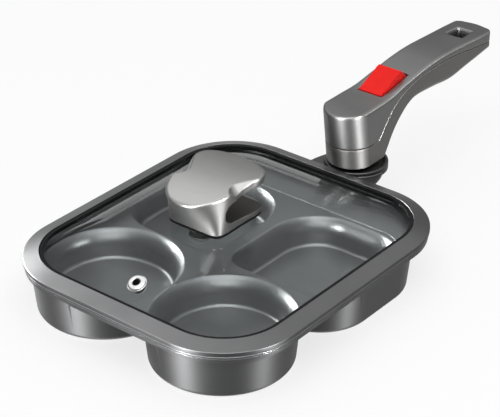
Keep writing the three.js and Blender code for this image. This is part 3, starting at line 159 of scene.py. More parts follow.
def turned(name, profile, x=0.0, y=0.0, segments=72):
    """A body turned about a vertical line; a profile that leaves the line is closed on itself."""
    circle = [(math.cos(t), math.sin(t)) for t in (2 * math.pi * i / segments for i in range(segments))]
    open_ended = profile[0][0] == 0
    inner = profile[1:-1] if open_ended else profile
    rings = [[(x + r * c, y + r * s, z) for c, s in circle] for r, z in inner]
    return lofted(name, rings, endless=not open_ended)


def raised(name, outline, low, high):
    """A plan outline raised between two levels."""
    return lofted(name, [[(x, y, z) for x, y in outline] for z in (low, high)])


def block(x0, x1, y0, y1, z0, z1, corner=0.4):
    return lofted("block", [rounded(x0, x1, y0, y1, [corner] * 4, z) for z in (z0, z1)])


def rod(radius, low, high, x, y, segments=40):
    return turned("rod", [(0, low), (radius, low), (radius, high), (0, high)], x, y, segments)


def lying(body, x, z):
    """A body turned about the vertical, laid along the pan and moved to its place."""
    lay = Matrix.Translation(Vector((x, 0, z)) / 1000) @ Matrix.Rotation(math.pi / 2, 4, "X")
    body.data.transform(Matrix.Translation(-at(0, 0, 0)))
    body.data.transform(Matrix.Translation(at(0, 0, 0)) @ lay)
    return body


def flipped(body):
    """The same body on the other side of the middle plane."""
    twin = bpy.data.objects.new(body.name, body.data.copy())
    twin.data.transform(Matrix.Diagonal((-1, 1, 1, 1)))
    twin.data.flip_normals()
    bpy.context.scene.collection.objects.link(twin)
    return twin


def both(body):
    return [body, flipped(body)]


def fixed(body):
    """Makes a body's modifiers part of its mesh."""
    graph = bpy.context.evaluated_depsgraph_get()
    made = bpy.data.meshes.new_from_object(body.evaluated_get(graph))
    old = body.data
    body.modifiers.clear()
    body.data = made
    bpy.data.meshes.remove(old)
    return body


def worked(body, operation, *tools):
    """Joins, cuts or trims a body with tools, which are used up."""
    for tool in tools:
        step = body.modifiers.new(operation, "BOOLEAN")
        step.operation = operation
        step.solver = "MANIFOLD"
        step.object = tool
    fixed(body)
    for tool in tools:
        mesh = tool.data
        bpy.data.objects.remove(tool)
        bpy.data.meshes.remove(mesh)
    return body


def softened(body, grain, passes):
    """Rounds every edge a little, as casting, blasting or moulding leaves it."""
    cast = body.modifiers.new("cast", "REMESH")
    cast.mode = "VOXEL"
    cast.voxel_size = grain / 1000
    ease = body.modifiers.new("ease", "SMOOTH")
    ease.factor = 0.5
    ease.iterations = passes
    return fixed(body)


def shown(body, name, material, owner, slot, *stands_for, crease=38):
    """Names a piece, gives it its finish, and lets it ride in place of its CAD nodes."""
    body.name = body.data.name = name
    body.data.materials.clear()
    body.data.materials.append(material)
    body.data.polygons.foreach_set("use_smooth", [True] * len(body.data.polygons))
    body.data.set_sharp_from_angle(angle=math.radians(crease))
    even = body.modifiers.new("even", "WEIGHTED_NORMAL")
    even.keep_sharp = True
    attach(body, owner)
    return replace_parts(body, *stands_for)


class Tone:
    """A shader socket that takes part in sums, each of which adds a Math node."""

    def __init__(self, finish, socket):
        self.finish = finish
        self.socket = socket

    def sum(self, operation, first, second):
        return self.finish.add("ShaderNodeMath", {"operation": operation}, {0: first, 1: second})

    def __add__(self, other):
        return self.sum("ADD", self, other)

    def __sub__(self, other):
        return self.sum("SUBTRACT", self, other)

    def __rsub__(self, other):
        return self.sum("SUBTRACT", other, self)

    def __mul__(self, other):
        return self.sum("MULTIPLY", self, other)

    __radd__ = __add__
    __rmul__ = __mul__


class Finish:
    """A material, world or lamp's nodes; add makes any node of them."""

    def __init__(self, owner, output="ShaderNodeOutputMaterial"):
        owner.use_nodes = True
        self.owner = owner
        self.tree = owner.node_tree
        self.tree.nodes.clear()
        self.output = self.tree.nodes.new(output)

    def add(self, kind, settings, sockets, out=0):
        node = self.tree.nodes.new(kind)
        for name, value in settings.items():
            setattr(node, name, value)
        for name, value in sockets.items():
            if isinstance(value, Tone):
                self.tree.links.new(value.socket, node.inputs[name])
            else:
                node.inputs[name].default_value = value
        return Tone(self, node.outputs[out])

    def show(self, surface):
        self.tree.links.new(surface.socket, self.output.inputs["Surface"])
        return self.owner

    def place(self):
        return self.add("ShaderNodeTexCoord", {}, {}, "Object")

    def noise(self, scale, detail=2.0, roughness=0.5):
        return self.add(
            "ShaderNodeTexNoise",
            {},
            {"Vector": self.place(), "Scale": scale, "Detail": detail, "Roughness": roughness},
        )

    def between(self, share, low, high):
        """A colour that goes from low to high with a share."""
        return self.add(
            "ShaderNodeMix",
            {"data_type": "RGBA", "clamp_factor": True},
            {0: share, 6: (*low, 1), 7: (*high, 1)},
            2,
        )


def satin_metal(name, low, high, roughness, painted_wall_shade, wall_brush=0.7):
    """Satin metal with a fine blasted grain; its upright faces get a darker base colour, a painted shade,
    and are brushed round.
    """
    finish = Finish(bpy.data.materials.new(name))
    fine = finish.noise(2600, 3.0, 0.65)
    cloud = finish.noise(26, 3.0)
    share = fine * 0.5 + cloud * 0.7 - 0.1
    rough = fine * 0.08 + cloud * 0.08 + (roughness - 0.08)
    bump = finish.add("ShaderNodeBump", {}, {"Strength": 0.015, "Distance": 0.0004, "Height": fine})
    level, wall = (
        finish.add(
            "ShaderNodeBsdfPrincipled",
            {},
            {
                "Base Color": finish.between(share, [c * shade for c in low], [c * shade for c in high]),
                "Metallic": 0.9,
                "Roughness": rough + (0.14 if shade < 1 else 0.0),
                "Anisotropic": brushed,
                "Anisotropic Rotation": 0.25,
                "Normal": bump,
            },
        )
        for shade, brushed in ((1.0, 0.0), (painted_wall_shade, wall_brush))
    )
    # Upright faces blend into the copy with the darker base colour: a painted shade on the sides.
    facing = finish.add("ShaderNodeTexCoord", {}, {}, "Normal")
    up = finish.add("ShaderNodeSeparateXYZ", {}, {"Vector": facing}, "Z")
    steep = finish.add(
        "ShaderNodeMapRange",
        {"interpolation_type": "SMOOTHSTEP"},
        {"Value": up * up, "From Min": 0.45, "From Max": 0.05},
    )
    return finish.show(finish.add("ShaderNodeMixShader", {}, {0: steep, 1: level, 2: wall}))


cast_coating = satin_metal("cast_coating", (0.12, 0.121, 0.123), (0.165, 0.166, 0.168), 0.36, 0.28)


def baked_coating(name, low, high, roughness):
    """The dark non-stick coat inside the pan: an even grey, faintly clouded, with a soft shine."""
    finish = Finish(bpy.data.materials.new(name))
    cloud = finish.noise(18, 3.0)
    surface = finish.add(
        "ShaderNodeBsdfPrincipled",
        {},
        {
            "Base Color": finish.between(cloud, low, high),
            "Metallic": 0.7,
            "Roughness": cloud * 0.06 + (roughness - 0.03),
            "Specular IOR Level": 0.2,
        },
    )
    return finish.show(surface)


inside_coating = baked_coating("inside_coating", (0.19, 0.192, 0.198), (0.23, 0.233, 0.24), 0.34)

rim_profile = eased(
    [
        (2.4, 31.6), (0.5, 32.4), (0.2, 35.0), (0.8, 35.1),
        (0.8, 35.3), (0, 35.4), (0, 36.5), (0.4, RIM_TOP),
    ],
    0.15,
)
pan = lofted("pan", [lid_line(RIM_SETBACK + inset, z) for inset, z in rim_profile])
deck = lofted("deck", [lid_line(5.5, DECK_UNDERSIDE), lid_line(4.9, RIM_BOTTOM + 0.4)])

# A cup's wall from its rounded bottom edge to the rim, as inset and level.
CUP_EDGE = 4.4
CUP_DRAFT = 0.1
cup_wall = [(CUP_EDGE - x, CUP_EDGE + z) for x, z in arc(0, 0, CUP_EDGE, -0.5, 0, 12)]
cup_wall.append((-CUP_DRAFT * (RIM_BOTTOM - CUP_EDGE), RIM_BOTTOM + 0.2))
ROUND_CUP = (51.4, -70.0, 49.6)
SQUARE_CUP_MIDDLE = (52.4, 39.65)
CUPS_MEET = -19
round_cup = turned(
    "cup",
    [(0, 0)] + [(ROUND_CUP[2] - inset, z) for inset, z in cup_wall] + [(0, RIM_BOTTOM + 0.2)],
    *ROUND_CUP[:2],
    120,
)
square_cup = lofted(
    "cup",
    [
        rounded(1.8 + inset, 103 - inset, inset + CUPS_MEET, 98.3 - inset, [40 - inset] * 4, z)
        for inset, z in cup_wall
    ],
)
lug = block(-29, 29, 112.5, 121.5, 8, RIM_BOTTOM + 0.5, 2)
rib = block(15, 21, 78.5, 113.5, 10, DECK_UNDERSIDE + 1, 1)
worked(pan, "UNION", deck, *both(round_cup), *both(square_cup), lug, *both(rib))


def well_wall(draft, lip_width):
    """A well's wall from the floor fillet to its broad rolled lip, as inset and level."""
    fillet, lip_drop = 3, 13
    drawn = draft * (DECK - lip_drop - WELL_FLOOR - fillet)
    wall = [(drawn + fillet - x, WELL_FLOOR + fillet + z) for x, z in arc(0, 0, fillet, -0.5, 0, 8)]
    roll = arc(0, 0, 1, 0, 1 / 3, 16)
    wall += [(lip_width * 2 * (x - 1), DECK + lip_drop * (z / roll[-1][1] - 1)) for x, z in roll[:-1]]
    wall += bend(wall[-1], (-lip_width, DECK), (-lip_width - 1, DECK + 0.02), 6)[1:]
    return wall + [(-lip_width - 1, DECK + 1)]


ROUND_WELL = (50.4, -66.2, 44.2)
round_well = turned(
    "well",
    [(0, WELL_FLOOR)] + [(ROUND_WELL[2] - inset, z) for inset, z in well_wall(0.17, 6)] + [(0, DECK + 1)],
    *ROUND_WELL[:2],
    120,
)
SQUARE_WELL_CORNERS = (35.6, 31.6, 33.6, 11.6)
square_well = lofted(
    "well",
    [
        rounded(
            9.9 + inset, 98.1 - inset, inset - 9.1, 78.6 - inset,
            [r - inset for r in SQUARE_WELL_CORNERS], z,
        )
        for inset, z in well_wall(0.09, 5)
    ],
)


def tray_line(grow, z):
    """The flat of the deck, which ends at the crease under the apron."""
    radii = [r + grow for r in (48.7, 34, 34, 48.7)]
    return rounded(-102 - grow, 102 + grow, -117.8 - grow, 86.2 + grow, radii, z)


tray = lofted(
    "tray",
    [tray_line(grow, DECK + z) for grow, z in ((0, 0), (0.08, 0.45), (0.2, 0.65), (0.45, 0.8), (0.9, 0.88))]
    + [lid_line(5, 33.6), lid_line(4.4, RIM_TOP + 1)],
)
SCREW_BORE = 2.7
SCREW_X, SCREW_Z = 18, 17
lug_bore = lying(rod(SCREW_BORE, -122.5, -113.5, 0, 0), SCREW_X, SCREW_Z)
worked(pan, "DIFFERENCE", tray, *both(round_well), *both(square_well), *both(lug_bore))
shown(pan, "pan_casting", cast_coating, "pan", "cast_metal", "pan_body")
pan.data.materials.append(inside_coating)
for face in pan.data.polygons:
    x, y, z = face.center * 1000 - at(0, 0, 0) * 1000
    cup_x, cup_y = ROUND_CUP[:2] if y < CUPS_MEET else SQUARE_CUP_MIDDLE
    inward = face.normal.x * (math.copysign(cup_x, x) - x) + face.normal.y * (cup_y - y)
    if z > WELL_FLOOR - 0.1 and (face.normal.z > 0.3 or (face.normal.z > -0.1 and inward > 0)):
        face.material_index = 1

# Handle seat: a cast bracket screwed to the lug, with a shelf under the lid's edge and a round
# cup that the handle turns in. It has the pan's own coating.
SEAT_Y = 150.5
SEAT_RADIUS = 24.2
SHELF_NEAR = 125.6
FLOOR_UNDERSIDE = 33

seat = block(-29, 29, 121.8, 126.8, 9, 31.3)
half_shelf = [(29, 131.6)] + bend((29, 131.6), (28, 142.5), (SEAT_RADIUS, SEAT_Y), 12)
shelf_line = [(29, SHELF_NEAR)] + half_shelf[1:-1] + arc(0, SEAT_Y, SEAT_RADIUS, 0, 1, 40)
shelf_line += [(-x, y) for x, y in reversed(half_shelf[1:-1])] + [(-29, SHELF_NEAR)]
neck_line = [(26, SHELF_NEAR)] + arc(0, SEAT_Y, 19.8, 0, 1, 40) + [(-26, SHELF_NEAR)]
seat_cup = turned(
    "cup",
    [(0, FLOOR_UNDERSIDE), (SEAT_RADIUS, FLOOR_UNDERSIDE)]
    + arc(SEAT_RADIUS - 0.7, 38.5, 0.7, 0, 0.5, 5)
    + [(0, 39.2)],
    0,
    SEAT_Y,
)
worked(
    seat,
    "UNION",
    raised("shelf", shelf_line, FLOOR_UNDERSIDE, 36),
    raised("neck", neck_line, 27.6, FLOOR_UNDERSIDE + 0.2),
    seat_cup,
)

# The lock pin's track is a curved slot from the working position to the swing limit.
LOCK_SETOFF = 13.5
TRACK_HALF = 3
TRACK_START, TRACK_END = -0.5, -0.5 + 150 / 180
(track_x, track_y) = arc(0, SEAT_Y, LOCK_SETOFF, TRACK_END, TRACK_END, 1)[0]
track_line = (
    arc(0, SEAT_Y, LOCK_SETOFF + TRACK_HALF, TRACK_START, TRACK_END, 40)
    + arc(track_x, track_y, TRACK_HALF, TRACK_END, TRACK_END + 1, 10)[1:-1]
    + arc(0, SEAT_Y, LOCK_SETOFF - TRACK_HALF, TRACK_END, TRACK_START, 40)
    + arc(0, SEAT_Y - LOCK_SETOFF, TRACK_HALF, TRACK_START + 1, TRACK_START + 2, 10)[1:-1]
)
worked(
    seat,
    "DIFFERENCE",
    rod(SEAT_RADIUS - 2.2, 35.5, 41, 0, SEAT_Y, 72),
    rod(17.1, 26, FLOOR_UNDERSIDE, 0, SEAT_Y, 60),
    rod(4.5, 26, 41, 0, SEAT_Y),
    raised("track", track_line, 26, 36),
    *both(lying(rod(SCREW_BORE, -128, -120.8, 0, 0), SCREW_X, SCREW_Z)),
)
softened(seat, 0.45, 3)
shown(seat, "handle_seat", cast_coating, "pan", "cast_metal", "handle_bracket")

# Seat screws: two socket-headed screws of plain machined steel. They lie along the pan and draw
# the bracket against the lug.
def plain_steel(name, low, high, roughness, metallic=1.0):
    """Machined steel: faint turning marks and a slightly uneven shine."""
    finish = Finish(bpy.data.materials.new(name))
    fine = finish.noise(900, 3.0, 0.65)
    cloud = finish.noise(60, 2.0)
    bump = finish.add("ShaderNodeBump", {}, {"Strength": 0.02, "Distance": 0.0003, "Height": fine})
    surface = finish.add(
        "ShaderNodeBsdfPrincipled",
        {},
        {
            "Base Color": finish.between(fine * 0.7 + cloud * 0.5 - 0.1, low, high),
            "Metallic": metallic,
            "Roughness": fine * 0.1 + (roughness - 0.05),
            "Normal": bump,
        },
    )
    return finish.show(surface)


screw_steel = plain_steel("screw_steel", (0.4, 0.4, 0.39), (0.62, 0.62, 0.6), 0.3)
for side, x in (("right", SCREW_X), ("left", -SCREW_X)):
    profile = [
        (0, -130.1), (4.2, -130.1), (5, -129.2), (5, -127.1), (2.4, -127.1), (2.4, -113.8), (0, -113.8),
    ]
    screw = turned("screw", eased(profile, 0.5), 0, 0, 48)
    worked(screw, "DIFFERENCE", rod(2, -131, -128.5, 0, 0, 6))
    lying(screw, x, SCREW_Z)
    shown(screw, f"seat_screw_{side}", screw_steel, "pan", "steel", f"bracket_screw_{side}")


# Seat liner: a ring of black moulded plastic. It is pressed into the seat's round cup and keeps
# the hub from rubbing on the casting.
def black_moulding(name, colour, roughness, grain, relief):
    """Black moulded plastic or silicone with a faint skin texture."""
    finish = Finish(bpy.data.materials.new(name))
    skin = finish.noise(grain, 3.0)
    cloud = finish.noise(40, 2.0)
    bump = finish.add("ShaderNodeBump", {}, {"Strength": relief, "Distance": 0.0003, "Height": skin})
    surface = finish.add(
        "ShaderNodeBsdfPrincipled",
        {},
        {
            "Base Color": finish.between(cloud, colour, [1.8 * c for c in colour]),
            "Roughness": skin * 0.12 + (roughness - 0.06),
            "Specular IOR Level": 0.15,
            "Normal": bump,
        },
    )
    return finish.show(surface)


black_plastic = black_moulding("black_plastic", (0.012, 0.012, 0.012), 0.5, 1800, 0.15)
liner = turned(
    "liner",
    eased([(17.7, 35.8), (21.7, 35.8), (21.7, 38.8), (20.6, 38.8), (20.6, 36.6), (17.7, 36.6)], 0.25, True),
    0,
    SEAT_Y,
)
shown(liner, "swivel_liner", black_plastic, "pan", "black_plastic", "seat_liner")

# Handle: two satin metallic shells that part along a fine line, with a barrel over the seat, a
# grip that rises and bows, a slot for the button and a bevelled hang hole near the tip.
BARREL_BOTTOM = 42.2
GRIP = 87.2
PARTING = 59.2
BARREL_BACK = 10.6
BARREL_HALF = 18.7
TOP_EDGE = 2.6
TIP_Y = 160.5


def smooth_line(points, steps=24):
    """A line through points, on the curve that a draughtsman's spline takes."""
    made = []
    for i in range(len(points) - 1):
        p0, p1 = points[max(i - 1, 0)], points[i]
        p2, p3 = points[i + 1], points[min(i + 2, len(points) - 1)]
        for s in range(steps):
            t = s / steps
            here = []
            for a, b, c, d in zip(p0, p1, p2, p3):
                slope, turn = (c - a) / 2, (2 * a - 5 * b + 4 * c - d) / 2
                here.append(b + t * (slope + t * (turn + t * (3 * b - a - 3 * c + d) / 2)))
            made.append(tuple(here))
    return made + [tuple(points[-1])]


def height(line, y):
    """The level of a line at a place along the handle."""
    for (y0, z0), (y1, z1) in zip(line, line[1:]):
        if y <= y1:
            return z0 + (z1 - z0) * max(0, y - y0) / (y1 - y0)
    return line[-1][1]


def ease_in(y, start, end):
    t = min(max((y - start) / (end - start), 0), 1)
    return t * t * (3 - 2 * t)


top_line = smooth_line(
    [(y, GRIP + z) for y, z in (
        (-40, -0.4), (-20, 0.8), (0, 1.2), (19.5, 2), (39.5, 5.4),
        (64.5, 9), (89.5, 10.4), (124.5, 9.1), (TIP_Y + 6, 7),
    )]
)
under_line = smooth_line(
    [(BARREL_BACK - 9, BARREL_BOTTOM - 14), (BARREL_BACK, BARREL_BOTTOM)]
    + [(y, GRIP + z) for y, z in (
        (22, -29.5), (32.5, -21.2), (44, -15.4), (55, -12.9),
        (78, -13.8), (101, -15.6), (125, -12.2), (TIP_Y + 6, -6.4),
    )]
)
parting_line = smooth_line(
    [(2.5, PARTING)]
    + [(y, GRIP + z) for y, z in (
        (16.5, -12.4), (29.5, -3.5), (42.5, 1.1), (58.5, 4.3),
        (93.5, 5.1), (130.5, 1.8), (TIP_Y + 8, -2.4),
    )]
)


def handle_section(y):
    """The handle cut across: nearly square edges on top, and an underside that grows rounder."""
    half = BARREL_HALF - 1.4 * ease_in(y, -5, 45) + 0.7 * ease_in(y, 100, TIP_Y - 15)
    edge, low = TOP_EDGE, 1.2 + 5.3 * ease_in(y, BARREL_BACK, 48)
    top = height(top_line, y)
    under = BARREL_BOTTOM if y < BARREL_BACK else height(under_line, y)
    ring = arc(half - edge, top - edge, edge, 0.5, 0, 8) + arc(half - low, under + low, low, 0, -0.5, 8)
    ring += arc(low - half, under + low, low, -0.5, -1, 8) + arc(edge - half, top - edge, edge, -1, -1.5, 8)
    return [(x, SEAT_Y + y, z) for x, z in ring]


def handle_plan(z, drawn):
    """The plan at a level: a leaning round front, drawn in at the top edge, and a bowed tip."""
    rise = z - BARREL_BOTTOM
    depth = 18.5 + 0.05 * rise
    rear = depth - 24.8 - 0.148 * rise
    half, tip_half, tip_bow, tip = 19, 18.1, 1.8, 9
    plan = [(half * x, rear + (depth - drawn) * y) for x, y in arc(0, 0, 1, 1, 2, 48)]
    plan += arc(tip_half - tip, TIP_Y - tip_bow - tip, tip, 0, 0.5, 14)
    bow_end, bow_y = tip_half - tip, TIP_Y - tip_bow
    plan += bend((bow_end, bow_y), (0, TIP_Y + tip_bow), (-bow_end, bow_y), 16)[1:-1]
    plan += arc(tip - tip_half, TIP_Y - tip_bow - tip, tip, 0.5, 1, 14)
    return [(x, SEAT_Y + y, z) for x, y in plan]


def sidewise(name, outline, half):
    """A side outline of the handle drawn out to both sides of the middle plane."""
    return lofted(name, [[(x, SEAT_Y + y, z) for y, z in outline] for x in (-half, half)])


BUTTON_HALF = 10.1
SLOT_HALF = 10.7
PIN_Y, PIN_Z = 17.5, GRIP - 3.7
HANG_Y = TIP_Y - 24.6
SHELL_SCREW_Y = (66, 112)


def hang_line(grow, z):
    x, y = 6.5 + grow, 8 + grow
    return rounded(-x, x, SEAT_Y + HANG_Y - y, SEAT_Y + HANG_Y + y, [1 + grow / 2] * 4, z)


def cross_rod(radius, half):
    """A rod across the handle at the button's hinge."""
    circle = arc(PIN_Y, PIN_Z, radius, 0, 2, 32)[:-1]
    return sidewise("cross", circle, half)


def handle_hollows():
    """Room inside both shells for the lever, the lock and the button, and the hang hole."""
    hang_top = height(top_line, HANG_Y)
    chamfer = 1.3
    levels = (
        (0, BARREL_BOTTOM), (0, hang_top - 2.4), (chamfer, hang_top),
        (chamfer + 0.3, hang_top + 1), (chamfer + 0.3, hang_top + 8),
    )
    room = block(-SLOT_HALF, SLOT_HALF, SEAT_Y - 19.5, SEAT_Y + 16.6, PARTING - 0.3, GRIP - 3.9)
    slot = block(-SLOT_HALF, SLOT_HALF, SEAT_Y + 14, SEAT_Y + 49.7, GRIP - 11, GRIP + 30)
    hang = lofted("hang", [hang_line(grow, z) for grow, z in levels])
    bores = [rod(1.9, BARREL_BOTTOM, height(top_line, y) - 2.1, 0, SEAT_Y + y) for y in SHELL_SCREW_Y]
    return [room, slot, hang, *bores]


def handle_shell(far, shift, hollows):
    """One shell: the whole handle's form, kept on one side of the parting line."""
    stations = [-36 + 1.5 * i for i in range(134)]
    body = lofted("shell", [handle_section(y) for y in stations])
    edge = [(TOP_EDGE * (1 - x), GRIP + 0.4 + TOP_EDGE * (y - 1)) for x, y in arc(0, 0, 1, 0, 0.5, 8)]
    plans = [(0, BARREL_BOTTOM - 4), *edge, (TOP_EDGE, GRIP + 20)]
    outside = lofted("outside", [handle_plan(z, drawn) for drawn, z in plans])
    side = [(-45, PARTING + shift)] + [(y, z + shift) for y, z in parting_line]
    side += [(TIP_Y + 8, far), (-45, far)]
    worked(body, "INTERSECT", outside, sidewise("side", side, 40))
    worked(body, "DIFFERENCE", *hollows)
    return softened(body, 0.55, 4)


PARTING_SHIFT = 0.3
satin_silver = satin_metal("satin_silver", (0.2, 0.2, 0.2), (0.27, 0.27, 0.268), 0.34, 0.5)
# The lower shell's satin is a darker copy of the upper shell's: a painted shade for the grip's underside.
satin_painted_shade = satin_metal("satin_painted_shade", (0.18, 0.177, 0.17), (0.24, 0.236, 0.228), 0.38, 0.5)

upper = handle_shell(GRIP + 60, PARTING_SHIFT, handle_hollows() + [cross_rod(1.8, 14.3)])
shown(upper, "grip_upper", satin_silver, "handle", "satin_metal", "handle_upper_shell", crease=60)
head_seats = [height(top_line, y) - 9 - 2.4 for y in SHELL_SCREW_Y]
lower_hollows = handle_hollows() + [
    rod(7.8, 50.9, PARTING + 1, 0, SEAT_Y, 6),
    rod(4.3, BARREL_BOTTOM - 1, PARTING + 1, 0, SEAT_Y),
    rod(3, BARREL_BOTTOM - 1, PARTING + 1, 0, SEAT_Y - LOCK_SETOFF),
]
lower_hollows += [
    rod(3.5, BARREL_BOTTOM, z + 2.7, 0, SEAT_Y + y) for y, z in zip(SHELL_SCREW_Y, head_seats)
]
lower = handle_shell(BARREL_BOTTOM - 30, -PARTING_SHIFT, lower_hollows)
shown(lower, "grip_lower", satin_painted_shade, "handle", "dark_satin_metal", "handle_lower_shell", crease=60)

# Shell screws: two cross-recessed steel screws, sunk in wells in the grip's underside. They draw
# the lower shell up to the upper one.
def cross_slots(long, wide, low, high, x, y):
    return [block(x - a, x + a, y - b, y + b, low, high, 0.1) for a, b in ((long, wide), (wide, long))]


for i, (y, base) in enumerate(zip(SHELL_SCREW_Y, head_seats)):
    tip = height(top_line, y) - 2.4
    profile = [
        (0, base), (2.6, base), (3.2, base + 0.8), (3.2, base + 2.4),
        (1.6, base + 2.4), (1.6, tip), (0, tip),
    ]
    screw = turned("screw", eased(profile, 0.3), 0, SEAT_Y + y, 40)
    worked(screw, "DIFFERENCE", *cross_slots(2, 0.4, base - 1, base + 1, 0, SEAT_Y + y))
    shown(screw, f"grip_screw_{i + 1}", screw_steel, "handle", "steel", f"shell_screw_{i + 1}")

# Swivel: a black moulded hub that turns in the liner. A steel bolt with a washer comes up through
# the seat's floor and is held by a nut inside the barrel.
hub_profile = [(0, 36.9), (20.1, 36.9), (20.1, 38.3), (14.4, 38.3), (14.4, 41.9), (0, 41.9)]
hub = turned("hub", eased(hub_profile, 0.4), 0, SEAT_Y)
worked(hub, "UNION", rod(4.4, 36.9, 41.9, 0, SEAT_Y - LOCK_SETOFF))
worked(hub, "DIFFERENCE", rod(3, 36, 43, 0, SEAT_Y - LOCK_SETOFF), rod(4.3, 36, 43, 0, SEAT_Y))
shown(hub, "turning_hub", black_plastic, "handle", "black_plastic", "swivel_hub")
washer = turned("washer", eased([(4.3, 31.9), (8.6, 31.9), (8.6, 32.7), (4.3, 32.7)], 0.2, True), 0, SEAT_Y)
shown(washer, "swivel_washer", screw_steel, "handle", "steel", "pivot_washer")
bolt_profile = [(0, 28.4), (6, 28.4), (7, 29.4), (7, 31.6), (4, 31.6), (4, 56.6), (3.4, 57.2), (0, 57.2)]
bolt = turned("bolt", eased(bolt_profile, 0.3), 0, SEAT_Y, 56)
worked(bolt, "DIFFERENCE", rod(3.2, 27, 30.6, 0, SEAT_Y, 6))
shown(bolt, "swivel_bolt", screw_steel, "handle", "steel", "pivot_bolt")

# Button: a wedge of red moulded plastic with a soft shine. It hinges on a steel pin in the upper
# shell, and its lever runs into the barrel and forks round the lock pin.
wedge = [
    (14.6, height(top_line, 14.6) + 0.3), (15.2, GRIP - 5.5), (40.2, GRIP - 6.5), (47.8, GRIP - 1.5),
    (47.8, GRIP + 6.2), (40.8, GRIP + 12.5),
] + bend((40.8, GRIP + 12.5), (39.8, GRIP + 13.2), (38.2, GRIP + 12.6), 6)[1:]
LEVER_TOP = PARTING + 11.5
LEVER_TIP = -LOCK_SETOFF - 2
lever = [
    (LEVER_TIP, LEVER_TOP - 4), (-3, LEVER_TOP - 4), (PIN_Y + 4, PIN_Z - 3),
    (PIN_Y + 4, PIN_Z + 1), (PIN_Y - 1, PIN_Z), (-4.5, LEVER_TOP), (LEVER_TIP, LEVER_TOP),
]
button = worked(sidewise("wedge", wedge, BUTTON_HALF), "UNION", sidewise("lever", lever, 6.5))
fork = block(-3, 3, SEAT_Y + LEVER_TIP - 1, SEAT_Y + 5 - LOCK_SETOFF, LEVER_TOP - 10, LEVER_TOP + 10)
worked(button, "DIFFERENCE", fork, cross_rod(1.8, 30))
softened(button, 0.32, 3)
red = Finish(bpy.data.materials.new("red_moulding"))
red_skin = red.noise(1500, 3.0)
red_cloud = red.noise(120, 2.0)
red_bump = red.add("ShaderNodeBump", {}, {"Strength": 0.08, "Distance": 0.0003, "Height": red_skin})
red_surface = red.add(
    "ShaderNodeBsdfPrincipled",
    {},
    {
        "Base Color": red.between(red_cloud, (0.78, 0.014, 0.011), (0.9, 0.022, 0.018)),
        "Roughness": red_skin * 0.12 + 0.42,
        "Specular IOR Level": 0.1,
        "Normal": red_bump,
    },
)
shown(button, "button_wedge", red.show(red_surface), "button", "red_plastic", "release_button", crease=60)

# Inside the handle: the swivel's nut, the button's hinge pin and the lock pin. All three are plain
# turned steel and keep their CAD shapes.
for hidden in ("pivot_nut", "button_pin", "lock_pin"):
    nodes[hidden].data.materials.clear()
    nodes[hidden].data.materials.append(screw_steel)

# Lock spring: a coil of steel wire round the top of the lock pin. It pushes the pin down into the
# seat and is pressed short as the pin lifts, though this script draws it only at its rest length.
COIL_RADIUS = 4
COIL_WIRE = 0.5
COIL_TURNS = 3
coil_low, coil_high = (corner[2] * 1000 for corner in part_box("lock_spring"))
coil_height = coil_high - coil_low


def wire_ring(share):
    """The wire's round section at a share of the way up the coil."""
    angle = 2 * COIL_TURNS * share * math.pi
    middle = coil_low + COIL_WIRE + share * (coil_height - 2 * COIL_WIRE)
    ring = []
    for out, z in arc(0, 0, COIL_WIRE, 0, 2, 12)[:-1]:
        x, y = (COIL_RADIUS + out) * math.cos(angle), (COIL_RADIUS + out) * math.sin(angle)
        ring.append((x, SEAT_Y - LOCK_SETOFF + y, middle + z))
    return ring


coil = lofted("coil", [wire_ring(i / 72) for i in range(73)])
shown(coil, "lock_coil", screw_steel, "handle", "steel", "lock_spring")
coil_top = at(0, SEAT_Y - LOCK_SETOFF, coil_high)
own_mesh(coil)

# Lid ring: a drawn metal band, coated like the pan, that slopes up from an upright edge to the
# glass, with a skirt that drops inside the pan's rim.
BAND_EDGE = 40.3
BAND_TOP = 43.8
ring_profile = [
    (0, 37.2), (0, BAND_EDGE), (11.4, BAND_TOP), (11.7, BAND_TOP - 0.3), (11.7, 41),
    (7.6, 41), (7.6, 34.4), (5.6, 34.4), (5.6, 37.2),
]
ring = lofted("ring", [lid_line(inset, z) for inset, z in eased(ring_profile, 0.7, True, 5)], endless=True)
shown(ring, "lid_band", cast_coating, "lid", "cast_metal", "lid_ring")

# Lid seal: a lip of smooth black silicone, moulded as one loop. It grips the glass flange and fills
# the joint between the band and the glass.
black_silicone = black_moulding("black_silicone", (0.006, 0.006, 0.006), 0.32, 700, 0.05)
seal_profile = [
    (7.9, 39.7), (7.9, 40.7), (12, 40.7), (12, BAND_TOP - 0.5), (14.4, BAND_TOP - 0.5),
    (14.4, 40.4), (13.2, 39.7),
]
seal = lofted("seal", [lid_line(inset, z) for inset, z in eased(seal_profile, 0.4, True)], endless=True)
shown(seal, "lid_lip", black_silicone, "lid", "black_silicone", "lid_seal")

# Lid glass: a clear tempered dome, pressed with a flat flange that the seal holds. It is drilled for
# the vent and for the knob's screw.
GLASS_EDGE = 39.4
GLASS_THICKNESS = 3.2
DOME_RISE = 22.1
DOME_POWER = 2.9
DOME_INSET = 13.6
DOME_LENGTH = LID_HALF_LENGTH - DOME_INSET


def dome(share):
    return GLASS_EDGE + DOME_RISE * (1 - share**DOME_POWER)


def dome_line(share, z):
    x, y, r = ((size - DOME_INSET) * share for size in (LID_HALF_WIDTH, LID_HALF_LENGTH, LID_CORNER))
    return rounded(-x, x, -y, y, [r] * 4, z)


shares = [0.04 + 0.96 * math.sin(math.pi / 2 * i / 36) for i in range(37)]
glass = lofted(
    "glass",
    [dome_line(s, dome(s) - GLASS_THICKNESS) for s in shares]
    + [lid_line(7.9, GLASS_EDGE - GLASS_THICKNESS), lid_line(7.9, GLASS_EDGE)]
    + [dome_line(s, dome(s)) for s in reversed(shares)],
)
VENT_Y = -95.1
vent_share = -VENT_Y / DOME_LENGTH
vent_slope = math.atan((dome(vent_share - 0.04) - dome(vent_share + 0.04)) / (0.08 * DOME_LENGTH))


